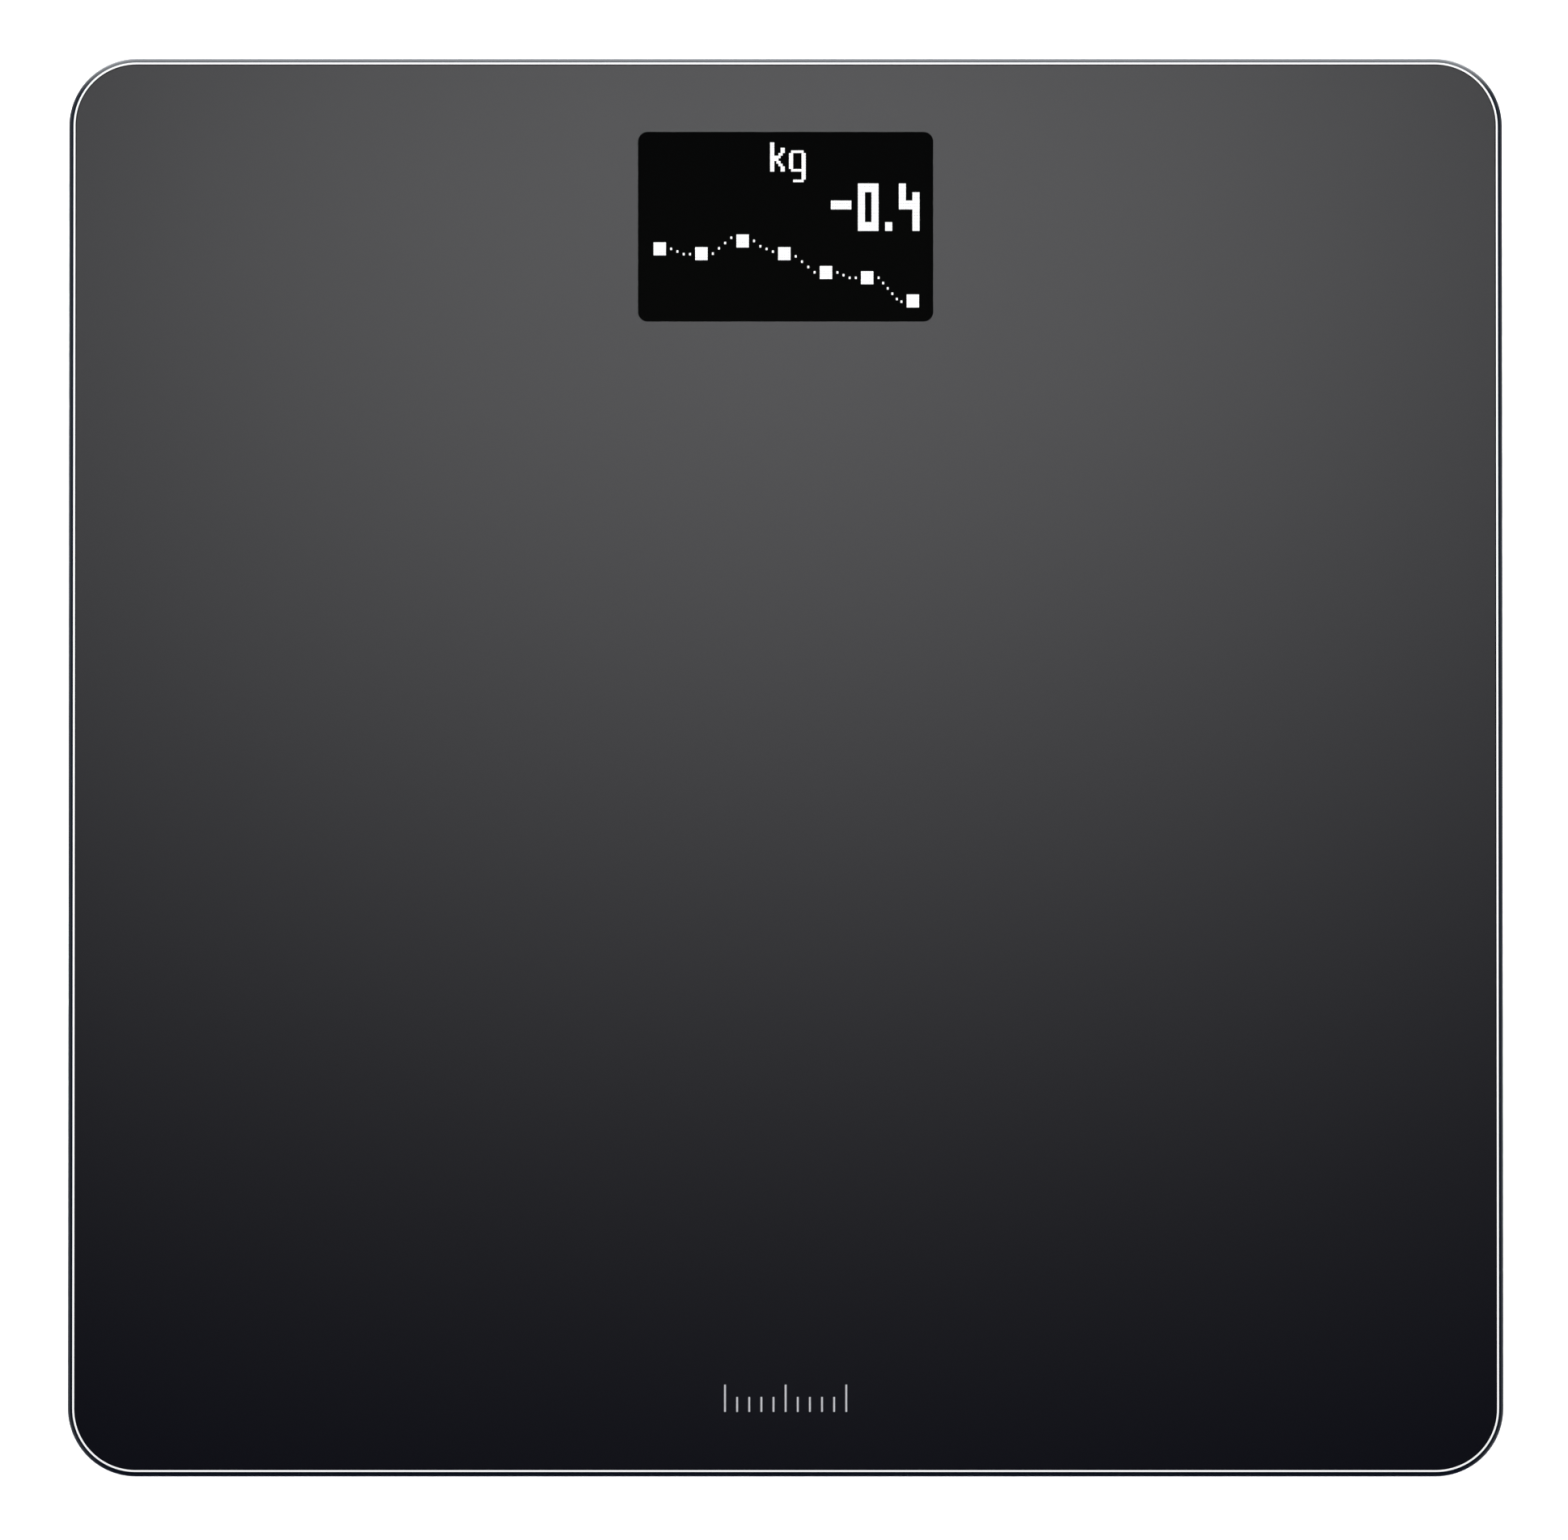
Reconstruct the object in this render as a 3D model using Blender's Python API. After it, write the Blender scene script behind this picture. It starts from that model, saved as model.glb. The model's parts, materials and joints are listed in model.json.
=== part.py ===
# Square glass bathroom scale: one tempered glass platform on a moulded base, with a display
# window, four feet that each press on a load cell, a battery bay and a unit button below.
# Sizes are in millimetres and turned to metres by MM. +Z is up, +Y points to the display,
# and the rubber feet stand on z = 0.

import math

import bmesh
import bpy
from mathutils import Matrix, Vector

MM = 0.001

# glass platform: outline, corner radius, and the height of its two faces
GLASS_WIDTH = 327.0
GLASS_DEPTH = 323.5
GLASS_CORNER = 15.5
GLASS_BOTTOM = 18.0
GLASS_TOP = 23.0
CORNER_STEPS = 8
# half of the ground and polished edge, as (inset from the outline, distance from the face)
EDGE_PROFILE = [(1.4, 0.0), (0.9, 0.25), (0.36, 0.65), (0.08, 1.2), (0.0, 1.9)]

# clearance left between pieces that touch
GAP = 0.3

# base shell: (inset, height, corner radius) of the loops up the outside and down the inside
SHELL_OUTSIDE = [
    (16.0, 4.0, 14.0), (12.5, 4.5, 13.4), (9.0, 6.3, 12.6), (6.6, 9.0, 12.0),
    (5.3, 12.6, 11.2), (5.0, 17.4, 10.8), (5.3, 17.7, 10.5),
]
SHELL_INSIDE = [
    (6.8, 17.7, 9.2), (7.0, 13.4, 9.0), (8.6, 10.2, 9.8), (11.3, 7.4, 11.0), (16.0, 6.0, 12.0),
]
FLOOR_LOW = 4.0
FLOOR_TOP = 6.0

# frame that the glass is bonded to
FRAME_INSET = 7.3
FRAME_WIDTH = 13.6
FRAME_LOW = 14.5
FRAME_TOP = 17.0

# display window, centred on x = 0
DISPLAY_Y = 123.5
PANEL_SIZE = (66.0, 42.0)
CARRIER_SIZE = (74.0, 49.0)

# feet and load cells
FOOT_X = 116.0
FOOT_Y = 114.0
FOOT_HOLE_RADIUS = 21.6
FOOT_STEPS = 24
CELL_SIDE = 34.0
CELL_THICKNESS = 1.8
SEAT_RADIUS = 24.6

# screws that hold the base shell to the frame
SCREW_PLACES = [(-145.0, 0.0), (145.0, 0.0), (-62.0, -144.0), (62.0, -144.0), (-62.0, 144.0), (62.0, 144.0)]

# battery bay: four AAA cells side by side, lying along X
BAY_Y = 38.0
BAY_INSIDE = (52.4, 45.2)
BAY_WALL = 1.2
CELL_PITCH = 11.1
BATTERY_RADIUS = 5.25
BATTERY_LENGTH = 44.5
BATTERY_HEIGHT = 11.45
DOOR_SIZE = (53.2, 47.2)
DOOR_OPENING = (54.0, 48.0)
DOOR_THICKNESS = 1.8

# unit button
BUTTON_X = 52.0
BUTTON_Y = 38.0

# main circuit board
BOARD_Y = 84.0
BOARD_SIZE = (70.0, 29.0)
BOARD_LOW = 9.0
BOARD_THICKNESS = 1.2

# material name: colour, roughness, metallic
MATERIALS = {
    "tempered_glass": ((0.035, 0.035, 0.038), 0.12, 0.0),
    "shell_plastic": ((0.045, 0.047, 0.05), 0.5, 0.0),
    "frame_plastic": ((0.10, 0.10, 0.105), 0.55, 0.0),
    "tape_foam": ((0.75, 0.75, 0.73), 0.9, 0.0),
    "foot_plastic": ((0.06, 0.06, 0.065), 0.5, 0.0),
    "foot_rubber": ((0.02, 0.02, 0.02), 0.85, 0.0),
    "cell_steel": ((0.55, 0.56, 0.58), 0.3, 1.0),
    "gauge_resin": ((0.62, 0.62, 0.58), 0.5, 0.0),
    "board_green": ((0.02, 0.16, 0.06), 0.5, 0.0),
    "chip_plastic": ((0.02, 0.02, 0.022), 0.45, 0.0),
    "can_steel": ((0.6, 0.6, 0.6), 0.3, 1.0),
    "display_glass": ((0.004, 0.004, 0.004), 0.08, 0.0),
    "flex_film": ((0.35, 0.16, 0.03), 0.35, 0.0),
    "battery_sleeve": ((0.10, 0.22, 0.14), 0.35, 0.0),
    "contact_nickel": ((0.7, 0.68, 0.63), 0.3, 1.0),
    "screw_steel": ((0.3, 0.3, 0.31), 0.35, 1.0),
    "cable_jacket": ((0.5, 0.5, 0.5), 0.6, 0.0),
    "label_paper": ((0.78, 0.78, 0.76), 0.6, 0.0),
}


def clear_scene():
    for old in list(bpy.data.objects):
        bpy.data.objects.remove(old, do_unlink=True)


def material(slot):
    found = bpy.data.materials.get(slot)
    if found:
        return found
    colour, roughness, metallic = MATERIALS[slot]
    made = bpy.data.materials.new(slot)
    made.use_nodes = True
    shader = made.node_tree.nodes["Principled BSDF"]
    shader.inputs["Base Color"].default_value = (*colour, 1.0)
    shader.inputs["Roughness"].default_value = roughness
    shader.inputs["Metallic"].default_value = metallic
    return made


def finish(name, shape, slot=None, origin=(0.0, 0.0, 0.0), smooth=False):
    """Turns a bmesh in millimetres into an object. Without a slot it is a hidden cutter."""
    bmesh.ops.remove_doubles(shape, verts=shape.verts, dist=0.0005)
    bmesh.ops.recalc_face_normals(shape, faces=shape.faces)
    bmesh.ops.translate(shape, verts=shape.verts, vec=-Vector(origin))
    bmesh.ops.scale(shape, verts=shape.verts, vec=Vector((MM, MM, MM)))
    mesh = bpy.data.meshes.new(name)
    shape.to_mesh(mesh)
    shape.free()
    made = bpy.data.objects.new(name, mesh)
    made.location = Vector(origin) * MM
    bpy.context.scene.collection.objects.link(made)
    if smooth:
        mesh.shade_smooth()
        mesh.set_sharp_from_angle(angle=math.radians(35.0))
    if slot:
        mesh.materials.append(material(slot))
    else:
        made.hide_render = True
        made.display_type = "WIRE"
    return made


def combine(target, operation, *tools):
    for tool in tools:
        step = target.modifiers.new(tool.name, "BOOLEAN")
        step.operation = operation
        step.solver = "EXACT"
        step.object = tool


def rounded_ring(width, depth, radius, z, centre=(0.0, 0.0), steps=CORNER_STEPS):
    """Points of a rounded rectangle at one height, anticlockwise from the +X side."""
    points = []
    for turn, (side_x, side_y) in enumerate([(1, 1), (-1, 1), (-1, -1), (1, -1)]):
        middle_x = centre[0] + side_x * (width / 2 - radius)
        middle_y = centre[1] + side_y * (depth / 2 - radius)
        for step in range(steps + 1):
            angle = math.radians(90.0 * (turn + step / steps))
            points.append(Vector((middle_x + radius * math.cos(angle), middle_y + radius * math.sin(angle), z)))
    return points


def inset_ring(inset, z, radius):
    return rounded_ring(GLASS_WIDTH - 2 * inset, GLASS_DEPTH - 2 * inset, radius, z)


def stack(shape, rings, closed=False):
    """Skins a list of rings. It is capped at both ends, or joined end to start if closed."""
    loops = [[shape.verts.new(point) for point in ring] for ring in rings]
    count = len(loops[0])
    pairs = list(zip(loops, loops[1:]))
    if closed:
        pairs.append((loops[-1], loops[0]))
    for low, high in pairs:
        for i in range(count):
            j = (i + 1) % count
            shape.faces.new((low[i], low[j], high[j], high[i]))
    if not closed:
        shape.faces.new(list(reversed(loops[0])))
        shape.faces.new(loops[-1])


def turned(shape, profile, centre=(0.0, 0.0), steps=24):
    """Turns (radius, height) points round a vertical axis. Without a radius of 0 at the ends it is a ring."""
    loops = []
    for radius, z in profile:
        if radius == 0.0:
            loops.append([shape.verts.new((centre[0], centre[1], z))])
            continue
        ring = []
        for i in range(steps):
            angle = 2 * math.pi * i / steps
            ring.append(shape.verts.new((centre[0] + radius * math.cos(angle), centre[1] + radius * math.sin(angle), z)))
        loops.append(ring)
    if profile[0][0] > 0.0:
        loops.append(loops[0])
    for low, high in zip(loops, loops[1:]):
        for i in range(steps):
            j = (i + 1) % steps
            if len(low) == 1:
                shape.faces.new((low[0], high[j], high[i]))
            elif len(high) == 1:
                shape.faces.new((low[i], low[j], high[0]))
            else:
                shape.faces.new((low[i], low[j], high[j], high[i]))


def rod(shape, centre, radius, low, high, steps=24):
    turned(shape, [(0.0, low), (radius, low), (radius, high), (0.0, high)], centre, steps)


def block(shape, centre, size, low, high):
    half_x = size[0] / 2
    half_y = size[1] / 2
    rings = []
    for z in (low, high):
        corners = [(half_x, half_y), (-half_x, half_y), (-half_x, -half_y), (half_x, -half_y)]
        rings.append([Vector((centre[0] + x, centre[1] + y, z)) for x, y in corners])
    stack(shape, rings)


def rounded_block(shape, centre, size, radius, low, high, steps=4):
    stack(shape, [rounded_ring(size[0], size[1], radius, z, centre, steps) for z in (low, high)])


def prism(shape, outline, low, high):
    stack(shape, [[Vector((x, y, z)) for x, y in outline] for z in (low, high)])


def tube(shape, path, radius, sides):
    """Sweeps a round section along a list of points, with flat ends."""
    rings = []
    normal = None
    for i, point in enumerate(path):
        along = (path[min(i + 1, len(path) - 1)] - path[max(i - 1, 0)]).normalized()
        if normal is None:
            normal = along.orthogonal().normalized()
        normal = (normal - along * normal.dot(along)).normalized()
        across = along.cross(normal)
        rings.append([
            point + radius * (math.cos(2 * math.pi * k / sides) * normal + math.sin(2 * math.pi * k / sides) * across)
            for k in range(sides)
        ])
    stack(shape, rings)


def smooth_path(points, steps):
    """A rounded path through the points."""
    points = [Vector(point) for point in points]
    ends = [points[0] * 2 - points[1]] + points + [points[-1] * 2 - points[-2]]
    path = []
    for a, b, c, d in zip(ends, ends[1:], ends[2:], ends[3:]):
        for step in range(steps):
            t = step / steps
            path.append(0.5 * (2 * b + (c - a) * t + (2 * a - 5 * b + 4 * c - d) * t * t
                               + (3 * b - a - 3 * c + d) * t * t * t))
    return path + [points[-1]]


def build_platform():
    shape = bmesh.new()
    below = [(inset, GLASS_BOTTOM + rise) for inset, rise in EDGE_PROFILE]
    above = [(inset, GLASS_TOP - rise) for inset, rise in reversed(EDGE_PROFILE)]
    stack(shape, [inset_ring(inset, z, GLASS_CORNER - inset) for inset, z in below + above])
    finish("glass_platform", shape, "tempered_glass", smooth=True)


def frame_ring(inset, width, low, high):
    """A flat ring that follows the platform's outline."""
    shape = bmesh.new()
    outer = (inset, max(GLASS_CORNER - inset, 2.0))
    inner = (inset + width, 4.0)
    stack(shape, [
        inset_ring(outer[0], low, outer[1]), inset_ring(outer[0], high, outer[1]),
        inset_ring(inner[0], high, inner[1]), inset_ring(inner[0], low, inner[1]),
    ], closed=True)
    return shape


def build_frame():
    """The frame under the glass, its screw bosses, and the tape that bonds it."""
    frame = finish("top_frame", frame_ring(FRAME_INSET, FRAME_WIDTH, FRAME_LOW, FRAME_TOP), "frame_plastic")
    bosses = bmesh.new()
    pilots = bmesh.new()
    for place in SCREW_PLACES:
        rod(bosses, place, 4.5, 10.0, FRAME_TOP - 0.5, 14)
        rod(pilots, place, 1.6, 9.0, 16.2, 10)
    notch = bmesh.new()
    block(notch, (0.0, DISPLAY_Y), (CARRIER_SIZE[0] + 1.0, CARRIER_SIZE[1] + 1.0), 13.0, 18.0)
    combine(frame, "UNION", finish("frame_bosses", bosses))
    combine(frame, "DIFFERENCE", finish("frame_pilots", pilots), finish("frame_notch", notch))
    tape = finish("bond_tape", frame_ring(FRAME_INSET + 0.5, FRAME_WIDTH - 1.0, 17.3, 17.7), "tape_foam")
    tape_notch = bmesh.new()
    block(tape_notch, (0.0, DISPLAY_Y), (CARRIER_SIZE[0] + 1.0, CARRIER_SIZE[1] + 1.0), 17.0, 18.0)
    combine(tape, "DIFFERENCE", finish("tape_notch", tape_notch))


def build_shell():
    """The moulded tray below: feet holes, battery opening, button hole, bosses and ribs."""
    shape = bmesh.new()
    stack(shape, [inset_ring(*ring) for ring in SHELL_OUTSIDE + SHELL_INSIDE])
    shell = finish("base_shell", shape, "shell_plastic", smooth=True)

    collars = bmesh.new()
    bosses = bmesh.new()
    holes = bmesh.new()
    for x, y, _ in foot_places():
        turned(collars, [(24.5, 5.3), (26.0, 5.3), (26.0, 10.0), (24.5, 10.0)], (x, y), 26)
        rod(holes, (x, y), FOOT_HOLE_RADIUS, 3.0, 9.0, 28)
    for place in SCREW_PLACES:
        rod(bosses, place, 4.5, FLOOR_TOP - 0.7, 9.7, 14)
        turned(holes, [(0.0, 2.0), (3.2, 2.0), (3.2, 7.6), (1.7, 7.6), (1.7, 11.0), (0.0, 11.0)], place, 16)
    for x in (-31.0, 31.0):
        for y in (BOARD_Y - 11.0, BOARD_Y + 11.0):
            peg = BOARD_LOW + BOARD_THICKNESS + 0.8
            turned(bosses, [(0.0, 5.3), (2.6, 5.3), (2.6, 8.7), (1.1, 8.7), (1.1, peg), (0.0, peg)], (x, y), 10)
    for x in (BUTTON_X - 8.6, BUTTON_X + 8.6):
        rod(bosses, (x, BUTTON_Y), 1.8, 5.3, 12.0, 10)
    rod(holes, (BUTTON_X, BUTTON_Y), 5.4, 3.0, 9.0, 24)
    block(holes, (0.0, BAY_Y), DOOR_OPENING, 3.0, 9.0)

    ribs = bmesh.new()
    block(ribs, (-100.0, 0.0), (1.4, 150.0), 5.3, 8.5)
    block(ribs, (100.0, 0.0), (1.4, 150.0), 5.3, 8.5)
    block(ribs, (0.0, -126.0), (150.0, 1.4), 5.3, 8.5)
    label_recess = bmesh.new()
    rounded_block(label_recess, (0.0, -60.0), (57.0, 35.0), 2.5, 3.0, 4.5)
    thumb_recess = bmesh.new()
    edge_y = BAY_Y + DOOR_OPENING[1] / 2
    turned(thumb_recess, [(0.0, 3.0), (9.0, 3.0), (9.0, 4.0), (7.6, 4.7), (5.0, 5.1), (0.0, 5.2)], (0.0, edge_y), 28)
    combine(shell, "UNION", finish("shell_collars", collars), finish("shell_bosses", bosses),
            finish("shell_ribs", ribs))
    combine(shell, "DIFFERENCE", finish("shell_holes", holes), finish("shell_label_recess", label_recess),
            finish("shell_thumb_recess", thumb_recess))


def foot_places():
    return [(-FOOT_X, -FOOT_Y, "front_left"), (FOOT_X, -FOOT_Y, "front_right"),
            (-FOOT_X, FOOT_Y, "rear_left"), (FOOT_X, FOOT_Y, "rear_right")]


def build_foot(x, y, where):
    """One foot: rubber pad, cup that slides in the base, load cell, gauge and the cell's seat."""
    inward = -math.copysign(1.0, x)
    pad = bmesh.new()
    turned(pad, [(0.0, 0.0), (11.0, 0.0), (11.4, 0.5), (12.6, 0.5), (13.0, 0.0), (17.3, 0.0), (18.0, 0.6),
                 (18.0, 2.2), (0.0, 2.2)], (x, y), FOOT_STEPS)
    finish("foot_pad_" + where, pad, "foot_rubber", (x, y, 0.0), smooth=True)
    cup = bmesh.new()
    turned(cup, [(0.0, 2.5), (18.3, 2.5), (18.3, 1.2), (19.5, 1.2), (20.0, 1.7), (20.0, 6.3), (24.0, 6.3),
                 (24.0, 7.5), (9.0, 8.8), (4.5, 9.6), (4.5, 12.5), (0.0, 12.5)], (x, y), FOOT_STEPS)
    finish("foot_cup_" + where, cup, "foot_plastic", (x, y, 0.0), smooth=True)

    cell_low = 12.5 + GAP
    cell_top = cell_low + CELL_THICKNESS
    plate = bmesh.new()
    rounded_block(plate, (x, y), (CELL_SIDE, CELL_SIDE), 3.0, cell_low, cell_top)
    cell = finish("load_cell_" + where, plate, "cell_steel")
    slot = bmesh.new()
    prism(slot, [(x - 9, y - 12), (x + 9, y - 12), (x + 9, y + 9), (x + 7, y + 9), (x + 7, y - 10),
                 (x - 7, y - 10), (x - 7, y + 9), (x - 9, y + 9)], cell_low - 1.0, cell_top + 1.0)
    combine(cell, "DIFFERENCE", finish("cell_slot_" + where, slot))

    gauge = bmesh.new()
    centre = (x, y + 12.2)
    stack(gauge, [rounded_ring(14.0, 5.0, 1.2, cell_top + 0.2, centre, 3),
                  rounded_ring(13.4, 4.4, 1.1, cell_top + 0.8, centre, 3),
                  rounded_ring(11.0, 2.4, 0.8, cell_top + 1.2, centre, 3)])
    finish("strain_gauge_" + where, gauge, "gauge_resin", smooth=True)

    seat_shape = bmesh.new()
    turned(seat_shape, [(0.0, 12.5), (SEAT_RADIUS, 12.5), (SEAT_RADIUS, 17.7), (0.0, 17.7)], (x, y), 28)
    seat = finish("cell_seat_" + where, seat_shape, "frame_plastic", smooth=True)
    pocket = bmesh.new()
    block(pocket, (x, y), (CELL_SIDE + 1.0, CELL_SIDE + 1.0), 11.0, cell_top + GAP)
    flex_room = bmesh.new()
    block(flex_room, (x, y), (22.0, 31.0), 11.0, 16.4)
    way_out = bmesh.new()
    block(way_out, (x + inward * 20.0, y), (12.0, 5.0), 11.0, 15.2)
    combine(seat, "DIFFERENCE", finish("seat_pocket_" + where, pocket), finish("seat_flex_room_" + where, flex_room),
            finish("seat_way_out_" + where, way_out))


def build_cable(x, y, where):
    """The cable from a load cell to the main board, laid on the floor of the base."""
    side = math.copysign(1.0, x)
    start = [(x - side * 18.8, y, 13.7), (x - side * 23.0, y, 13.7), (x - side * 28.0, y, 12.6)]
    if y < 0:
        route = [(side * 82.0, y + 6.0, 8.6), (side * 76.0, y + 26.0, 7.9), (side * 75.0, -30.0, 7.9),
                 (side * 74.0, 40.0, 7.9), (side * 62.0, 68.0, 8.2), (side * 48.0, 78.0, 9.2),
                 (side * 36.2, 79.0, 9.6)]
    else:
        route = [(side * 78.0, y - 3.0, 9.4), (side * 64.0, y - 12.0, 7.9), (side * 50.0, 93.0, 8.4),
                 (side * 36.2, 88.0, 9.6)]
    shape = bmesh.new()
    tube(shape, smooth_path(start + route, 3), 1.1, 6)
    finish("cell_cable_" + where, shape, "cable_jacket", smooth=True)


def build_display():
    """The display panel, its carrier, the foam gasket and the ribbon to the main board."""
    centre = (0.0, DISPLAY_Y)
    panel = bmesh.new()
    rounded_block(panel, centre, PANEL_SIZE, 1.0, 15.8, 17.6)
    finish("display_panel", panel, "display_glass")
    carrier_shape = bmesh.new()
    rounded_block(carrier_shape, centre, CARRIER_SIZE, 2.0, 13.8, 17.0)
    carrier = finish("display_carrier", carrier_shape, "frame_plastic")
    pocket = bmesh.new()
    rounded_block(pocket, centre, (PANEL_SIZE[0] + 1.0, PANEL_SIZE[1] + 1.0), 1.4, 15.5, 18.0)
    ribbon_slot = bmesh.new()
    block(ribbon_slot, (0.0, DISPLAY_Y - CARRIER_SIZE[1] / 2), (20.0, 10.0), 15.5, 18.0)
    combine(carrier, "DIFFERENCE", finish("carrier_pocket", pocket), finish("carrier_slot", ribbon_slot))
    gasket = bmesh.new()
    outer = (CARRIER_SIZE[0] - 0.6, CARRIER_SIZE[1] - 0.6)
    inner = (PANEL_SIZE[0] + 1.4, PANEL_SIZE[1] + 1.4)
    stack(gasket, [rounded_ring(*outer, 2.0, 17.2, centre, 4), rounded_ring(*outer, 2.0, 17.8, centre, 4),
                   rounded_ring(*inner, 2.2, 17.8, centre, 4), rounded_ring(*inner, 2.2, 17.2, centre, 4)],
          closed=True)
    finish("display_gasket", gasket, "tape_foam")

    edge = DISPLAY_Y - PANEL_SIZE[1] / 2
    middle = [(edge - 0.3, 16.4), (edge - 6.0, 16.4), (edge - 7.4, 15.7), (edge - 7.9, 14.2), (edge - 8.0, 12.6),
              (edge - 8.5, 11.2), (edge - 9.8, 10.65), (edge - 12.4, 10.6)]
    ribbon = bmesh.new()
    rings = []
    for i, (y, z) in enumerate(middle):
        before = middle[max(i - 1, 0)]
        after = middle[min(i + 1, len(middle) - 1)]
        across = Vector((0.0, before[1] - after[1], after[0] - before[0])).normalized() * 0.12
        here = Vector((0.0, y, z))
        side = Vector((8.5, 0.0, 0.0))
        rings.append([here + side + across, here - side + across, here - side - across, here + side - across])
    stack(ribbon, rings)
    finish("display_ribbon", ribbon, "flex_film")


def build_boards():
    board_shape = bmesh.new()
    rounded_block(board_shape, (0.0, BOARD_Y), BOARD_SIZE, 2.0, BOARD_LOW, BOARD_LOW + BOARD_THICKNESS)
    board = finish("main_board", board_shape, "board_green")
    holes = bmesh.new()
    for x in (-31.0, 31.0):
        for y in (BOARD_Y - 11.0, BOARD_Y + 11.0):
            rod(holes, (x, y), 1.5, 8.0, 12.0, 10)
    combine(board, "DIFFERENCE", finish("board_holes", holes))
    low = BOARD_LOW + BOARD_THICKNESS + 0.2
    can = bmesh.new()
    stack(can, [rounded_ring(20.0, 15.0, 0.8, low, (-20.0, BOARD_Y), 3),
                rounded_ring(20.0, 15.0, 0.8, low + 2.0, (-20.0, BOARD_Y), 3),
                rounded_ring(19.2, 14.2, 0.6, low + 2.4, (-20.0, BOARD_Y), 3)])
    finish("radio_module", can, "can_steel")
    chip = bmesh.new()
    block(chip, (6.0, BOARD_Y - 2.0), (8.0, 8.0), low, low + 1.0)
    finish("processor_chip", chip, "chip_plastic")
    chip = bmesh.new()
    block(chip, (21.0, BOARD_Y - 2.0), (6.5, 5.0), low, low + 1.2)
    finish("amplifier_chip", chip, "chip_plastic")


def along_x(shape, start_x, y, z, direction):
    """Lays a shape that was turned about Z along X, with its foot at start_x."""
    turn = Matrix.Rotation(direction * math.pi / 2, 4, "Y")
    bmesh.ops.transform(shape, matrix=Matrix.Translation((start_x, y, z)) @ turn, verts=shape.verts)


def build_battery_bay():
    """The tray, four cells in alternate directions, and the five contacts that join them."""
    inside_x, inside_y = BAY_INSIDE
    tray_shape = bmesh.new()
    rounded_block(tray_shape, (0.0, BAY_Y), (inside_x + 2 * BAY_WALL, inside_y + 2 * BAY_WALL), 1.5, 6.3, 17.7)
    tray = finish("battery_tray", tray_shape, "frame_plastic")
    flange = bmesh.new()
    rounded_block(flange, (0.0, BAY_Y), (inside_x + 9.0, inside_y + 9.0), 2.5, 6.3, 7.4)
    cavity = bmesh.new()
    block(cavity, (0.0, BAY_Y), BAY_INSIDE, 5.0, 17.0)
    ribs = bmesh.new()
    for i in (-1, 0, 1):
        block(ribs, (0.0, BAY_Y + i * CELL_PITCH), (40.0, 1.0), 14.3, 17.3)
    tab_room = bmesh.new()
    for x in (-16.0, 16.0):
        block(tab_room, (x, BAY_Y - inside_y / 2 - 1.5), (9.0, 6.0), 5.0, 9.0)
    combine(tray, "UNION", finish("tray_flange", flange))
    combine(tray, "DIFFERENCE", finish("tray_cavity", cavity))
    combine(tray, "UNION", finish("tray_ribs", ribs))
    combine(tray, "DIFFERENCE", finish("tray_tab_room", tab_room))

    plate_x = inside_x / 2 - 0.2
    reach = plate_x - 0.4 - GAP
    for i in range(4):
        y = BAY_Y + (i - 1.5) * CELL_PITCH
        way = 1 if i % 2 == 0 else -1
        cell = bmesh.new()
        radius = BATTERY_RADIUS
        body = BATTERY_LENGTH - 0.9
        turned(cell, [(0.0, 0.0), (4.6, 0.0), (radius, 0.5), (radius, body - 0.5), (4.6, body), (1.9, body),
                      (1.9, BATTERY_LENGTH), (0.0, BATTERY_LENGTH)], steps=16)
        along_x(cell, way * (reach - BATTERY_LENGTH), y, BATTERY_HEIGHT, way)
        finish("battery_" + str(i + 1), cell, "battery_sleeve", smooth=True)

    groups = [("contact_positive", 1, [0]), ("contact_bridge_1", -1, [0, 1]), ("contact_bridge_2", 1, [1, 2]),
              ("contact_bridge_3", -1, [2, 3]), ("contact_negative", 1, [3])]
    for name, side, cells in groups:
        middle = sum(cells) / len(cells)
        y = BAY_Y + (middle - 1.5) * CELL_PITCH
        plate_shape = bmesh.new()
        block(plate_shape, (side * (plate_x - 0.2), y), (0.4, 8.6 + CELL_PITCH * (len(cells) - 1)), 7.2, 15.4)
        plate = finish(name, plate_shape, "contact_nickel")
        for i in cells:
            cell_y = BAY_Y + (i - 1.5) * CELL_PITCH
            faces_plus = (side == 1) == (i % 2 == 0)
            if faces_plus:
                continue
            spring = bmesh.new()
            tube(spring, spring_path(), 0.3, 5)
            along_x(spring, side * (plate_x - 0.15), cell_y, BATTERY_HEIGHT, -side)
            combine(plate, "UNION", finish(name + "_spring", spring))


def spring_path():
    """A conical contact spring, wide at the plate and narrow at the battery."""
    turns = 3.0
    steps = 27
    path = []
    for i in range(steps + 1):
        share = i / steps
        angle = 2 * math.pi * turns * share
        radius = 3.8 - 1.6 * share
        path.append(Vector((radius * math.cos(angle), radius * math.sin(angle), 5.9 * share)))
    return path


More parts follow.
